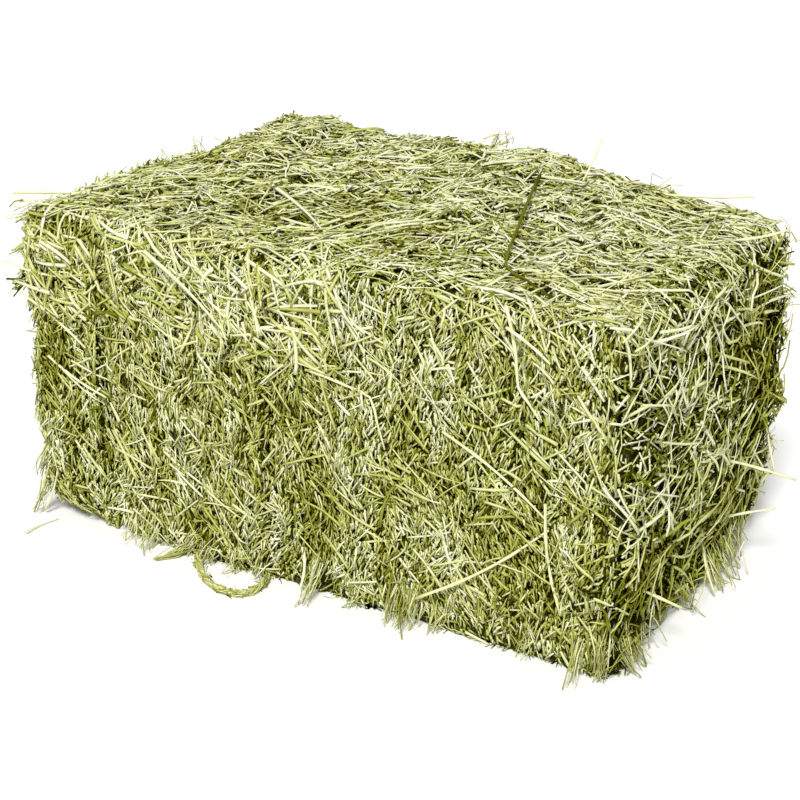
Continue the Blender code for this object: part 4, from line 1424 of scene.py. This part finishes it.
@dataclass
class Bale:
    """The whole bale: heart, thatch, twines and loose stalks."""

    frame: dict
    flake_count: int = 9
    line_points: int = 60
    forms: dict[Form, StalkForm] = field(init=False)

    def __post_init__(self) -> None:
        """Models every kind of stalk once."""
        self.forms = {kind: StalkForm.model(kind) for kind in Form}

    def centre(self) -> np.ndarray:
        """Finds the middle of the pressed block on the ground from the twines.

        Returns:
            The place in the frame.
        """
        front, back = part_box("twine_front"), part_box("twine_back")
        x = front[1].x - (BALE_LENGTH / 2 - TWINE_DEPTH + TWINE_RADIUS)
        y = (front[0].y + back[1].y) / 2
        return np.array([x, y, 0.0])

    def dress_hearts(self) -> None:
        """Gives every flake's solid the finish of crushed hay, coloured dark as painted
        shade of the depth inside the bale.
        """
        heart = PAINTED_SHADE_HEART.make()
        for index in range(self.flake_count):
            node = self.frame["nodes"][f"flake_{index + 1}"]
            node.data.materials.clear()
            node.data.materials.append(heart)
            LOG.info("flake_%d wears %s", index + 1, heart.name)

    def large_stalk_tree(self) -> KDTree:
        """Gathers the middle lines of the stalks that lie on the top and the front.

        Returns:
            A search tree over close points on those lines.
        """
        lines = [smooth_path(LooseStalk(name).middle_line(node)[0], self.line_points)
                 for name, node in self.frame["nodes"].items()
                 if name.startswith(("top_", "front_"))]
        points = np.concatenate(lines)
        tree = KDTree(len(points))
        for index, point in enumerate(points):
            tree.insert(point, index)
        tree.balance()
        return tree

    def thatch(self, hay: bpy.types.Material) -> None:
        """Lays the stalks and joins them, one piece for each flake and each end.

        Args:
            hay: the stalks' material.
        """
        skin = Skin.read(self.frame["nodes"], self.centre(), self.flake_count)
        thatch = Thatch(skin, self.forms, np.random.default_rng(SEED), Cloud(SEED),
                        self.large_stalk_tree())
        groups: dict[str, list[Stalks]] = {}
        for layer in LAYS:
            stalks, flake = thatch.lay(layer)
            if layer.side in (Side.LEFT, Side.RIGHT):
                groups.setdefault(f"{layer.side.name.lower()}_end_hay", []).append(stalks)
                continue
            for index in range(self.flake_count):
                some = stalks.part(flake == index)
                groups.setdefault(f"flake_{index + 1}_hay", []).append(some)
        corner = skin.centre - HALF * np.array([1.0, 1.0, 0.0])
        for tuft in TUFTS:
            flake = min(self.flake_count, 1 + int(np.searchsorted(
                skin.seams, tuft.root[0] * MM - BALE_LENGTH / 2)))
            groups[f"flake_{flake}_hay"].append(
                tuft.lay(corner, thatch.rng, self.forms[Form.STEM]))
        total = 0
        for name, stalks in groups.items():
            piece = join_stalks(name, stalks, hay)
            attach(piece, "root")
            total += len(piece.data.polygons)
            LOG.info("%s has %d faces", name, len(piece.data.polygons))
        LOG.info("the thatch has %d faces", total)

    def loose_stalks(self, hay: bpy.types.Material) -> None:
        """Replaces every loose stalk's solid with the detailed stalk.

        Args:
            hay: the stalks' material.
        """
        rng = np.random.default_rng(SEED + 1)
        for name, node in self.frame["nodes"].items():
            if name.startswith(("flake_", "twine_")):
                continue
            stalk = LooseStalk(name)
            if name == "bottom_wisp":
                line, _ = stalk.middle_line(node)
                dressed = [Wisp().lay(line, rng, self.forms[Form.STRAND]),
                           Wisp().chaff(line, rng, self.forms[Form.BIT])]
            else:
                dressed = [stalk.dress(node, rng, self.forms)]
            piece = join_stalks(f"{name}_dried", dressed, hay)
            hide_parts(name)
            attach(piece, "root")
        LOG.info("the loose stalks and the wisp are dressed")

    def twines(self) -> None:
        """Replaces both twines' solids with three-ply twine."""
        sisal = SISAL.make()
        for word, side in (("front", -1.0), ("back", 1.0)):
            piece = Twine(side).make(f"twine_{word}_three_ply", self.centre(), sisal)
            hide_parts(f"twine_{word}")
            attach(piece, "root")
            LOG.info("%s has %d faces", piece.name, len(piece.data.polygons))


@dataclass(frozen=True)
class Studio:
    """Camera, pale floor and soft light."""

    centre: np.ndarray
    camera_offset: tuple = (1.087, -1.766, 0.815)
    azimuth: float = 31.75
    elevation: float = 22.45
    lens: float = 80.0
    sensor: float = 36.0
    floor_size: float = 30.0
    sky: float = 0.50
    sun: float = 3.3
    sun_degrees: float = 16.0
    sun_from: tuple = (0.22, -0.60, 0.77)

    def make_camera(self) -> None:
        """Stands the camera where the photograph was taken from."""
        data = bpy.data.cameras.new("camera")
        data.lens = self.lens
        data.sensor_width = self.sensor
        data.clip_start, data.clip_end = 0.05, 50.0
        camera = link_object("camera", data)
        middle = Vector(self.centre) + Vector((0.0, 0.0, BALE_HEIGHT / 2))
        camera.location = middle + Vector(self.camera_offset)
        a, e = math.radians(self.azimuth), math.radians(self.elevation)
        back = Vector((math.sin(a) * math.cos(e), -math.cos(a) * math.cos(e), math.sin(e)))
        camera.rotation_euler = (-back).to_track_quat("-Z", "Y").to_euler()
        bpy.context.scene.camera = camera

    def make_floor(self) -> None:
        """Lays the pale floor."""
        bpy.ops.object.select_all(action="DESELECT")
        bpy.ops.mesh.primitive_plane_add(size=self.floor_size, location=(0.0, 0.0, 0.0))
        floor = bpy.context.active_object
        floor.name = "studio_floor"
        material, shader = new_material("matt_white_floor")
        shader.inputs["Base Color"].default_value = linear("#f4f4f2")
        shader.inputs["Roughness"].default_value = 0.95
        floor.data.materials.append(material)

    def make_light(self) -> None:
        """Sets a high key light from the front left and an even white sky."""
        scene = bpy.context.scene
        world = bpy.data.worlds.new("studio")
        world.use_nodes = True
        scene.world = world
        sky = world.node_tree.nodes["Background"]
        sky.inputs["Color"].default_value = (1, 1, 1, 1)
        sky.inputs["Strength"].default_value = self.sky
        data = bpy.data.lights.new("key", "SUN")
        data.energy = self.sun
        data.angle = math.radians(self.sun_degrees)
        key = link_object("key", data)
        key.rotation_euler = (-Vector(self.sun_from)).to_track_quat("-Z", "Y").to_euler()
        scene.view_settings.view_transform = "Standard"


def main() -> None:
    """Dresses the bale piece by piece and sets the studio round it."""
    logging.basicConfig(level=logging.INFO, format="%(message)s")
    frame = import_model()
    bale = Bale(frame)
    studio = Studio(bale.centre())
    studio.make_camera()
    studio.make_floor()
    studio.make_light()
    bale.dress_hearts()
    hay = DriedGrassFinish().make()
    bale.thatch(hay)
    bale.loose_stalks(hay)
    bale.twines()


if __name__ == "__main__":
    main()
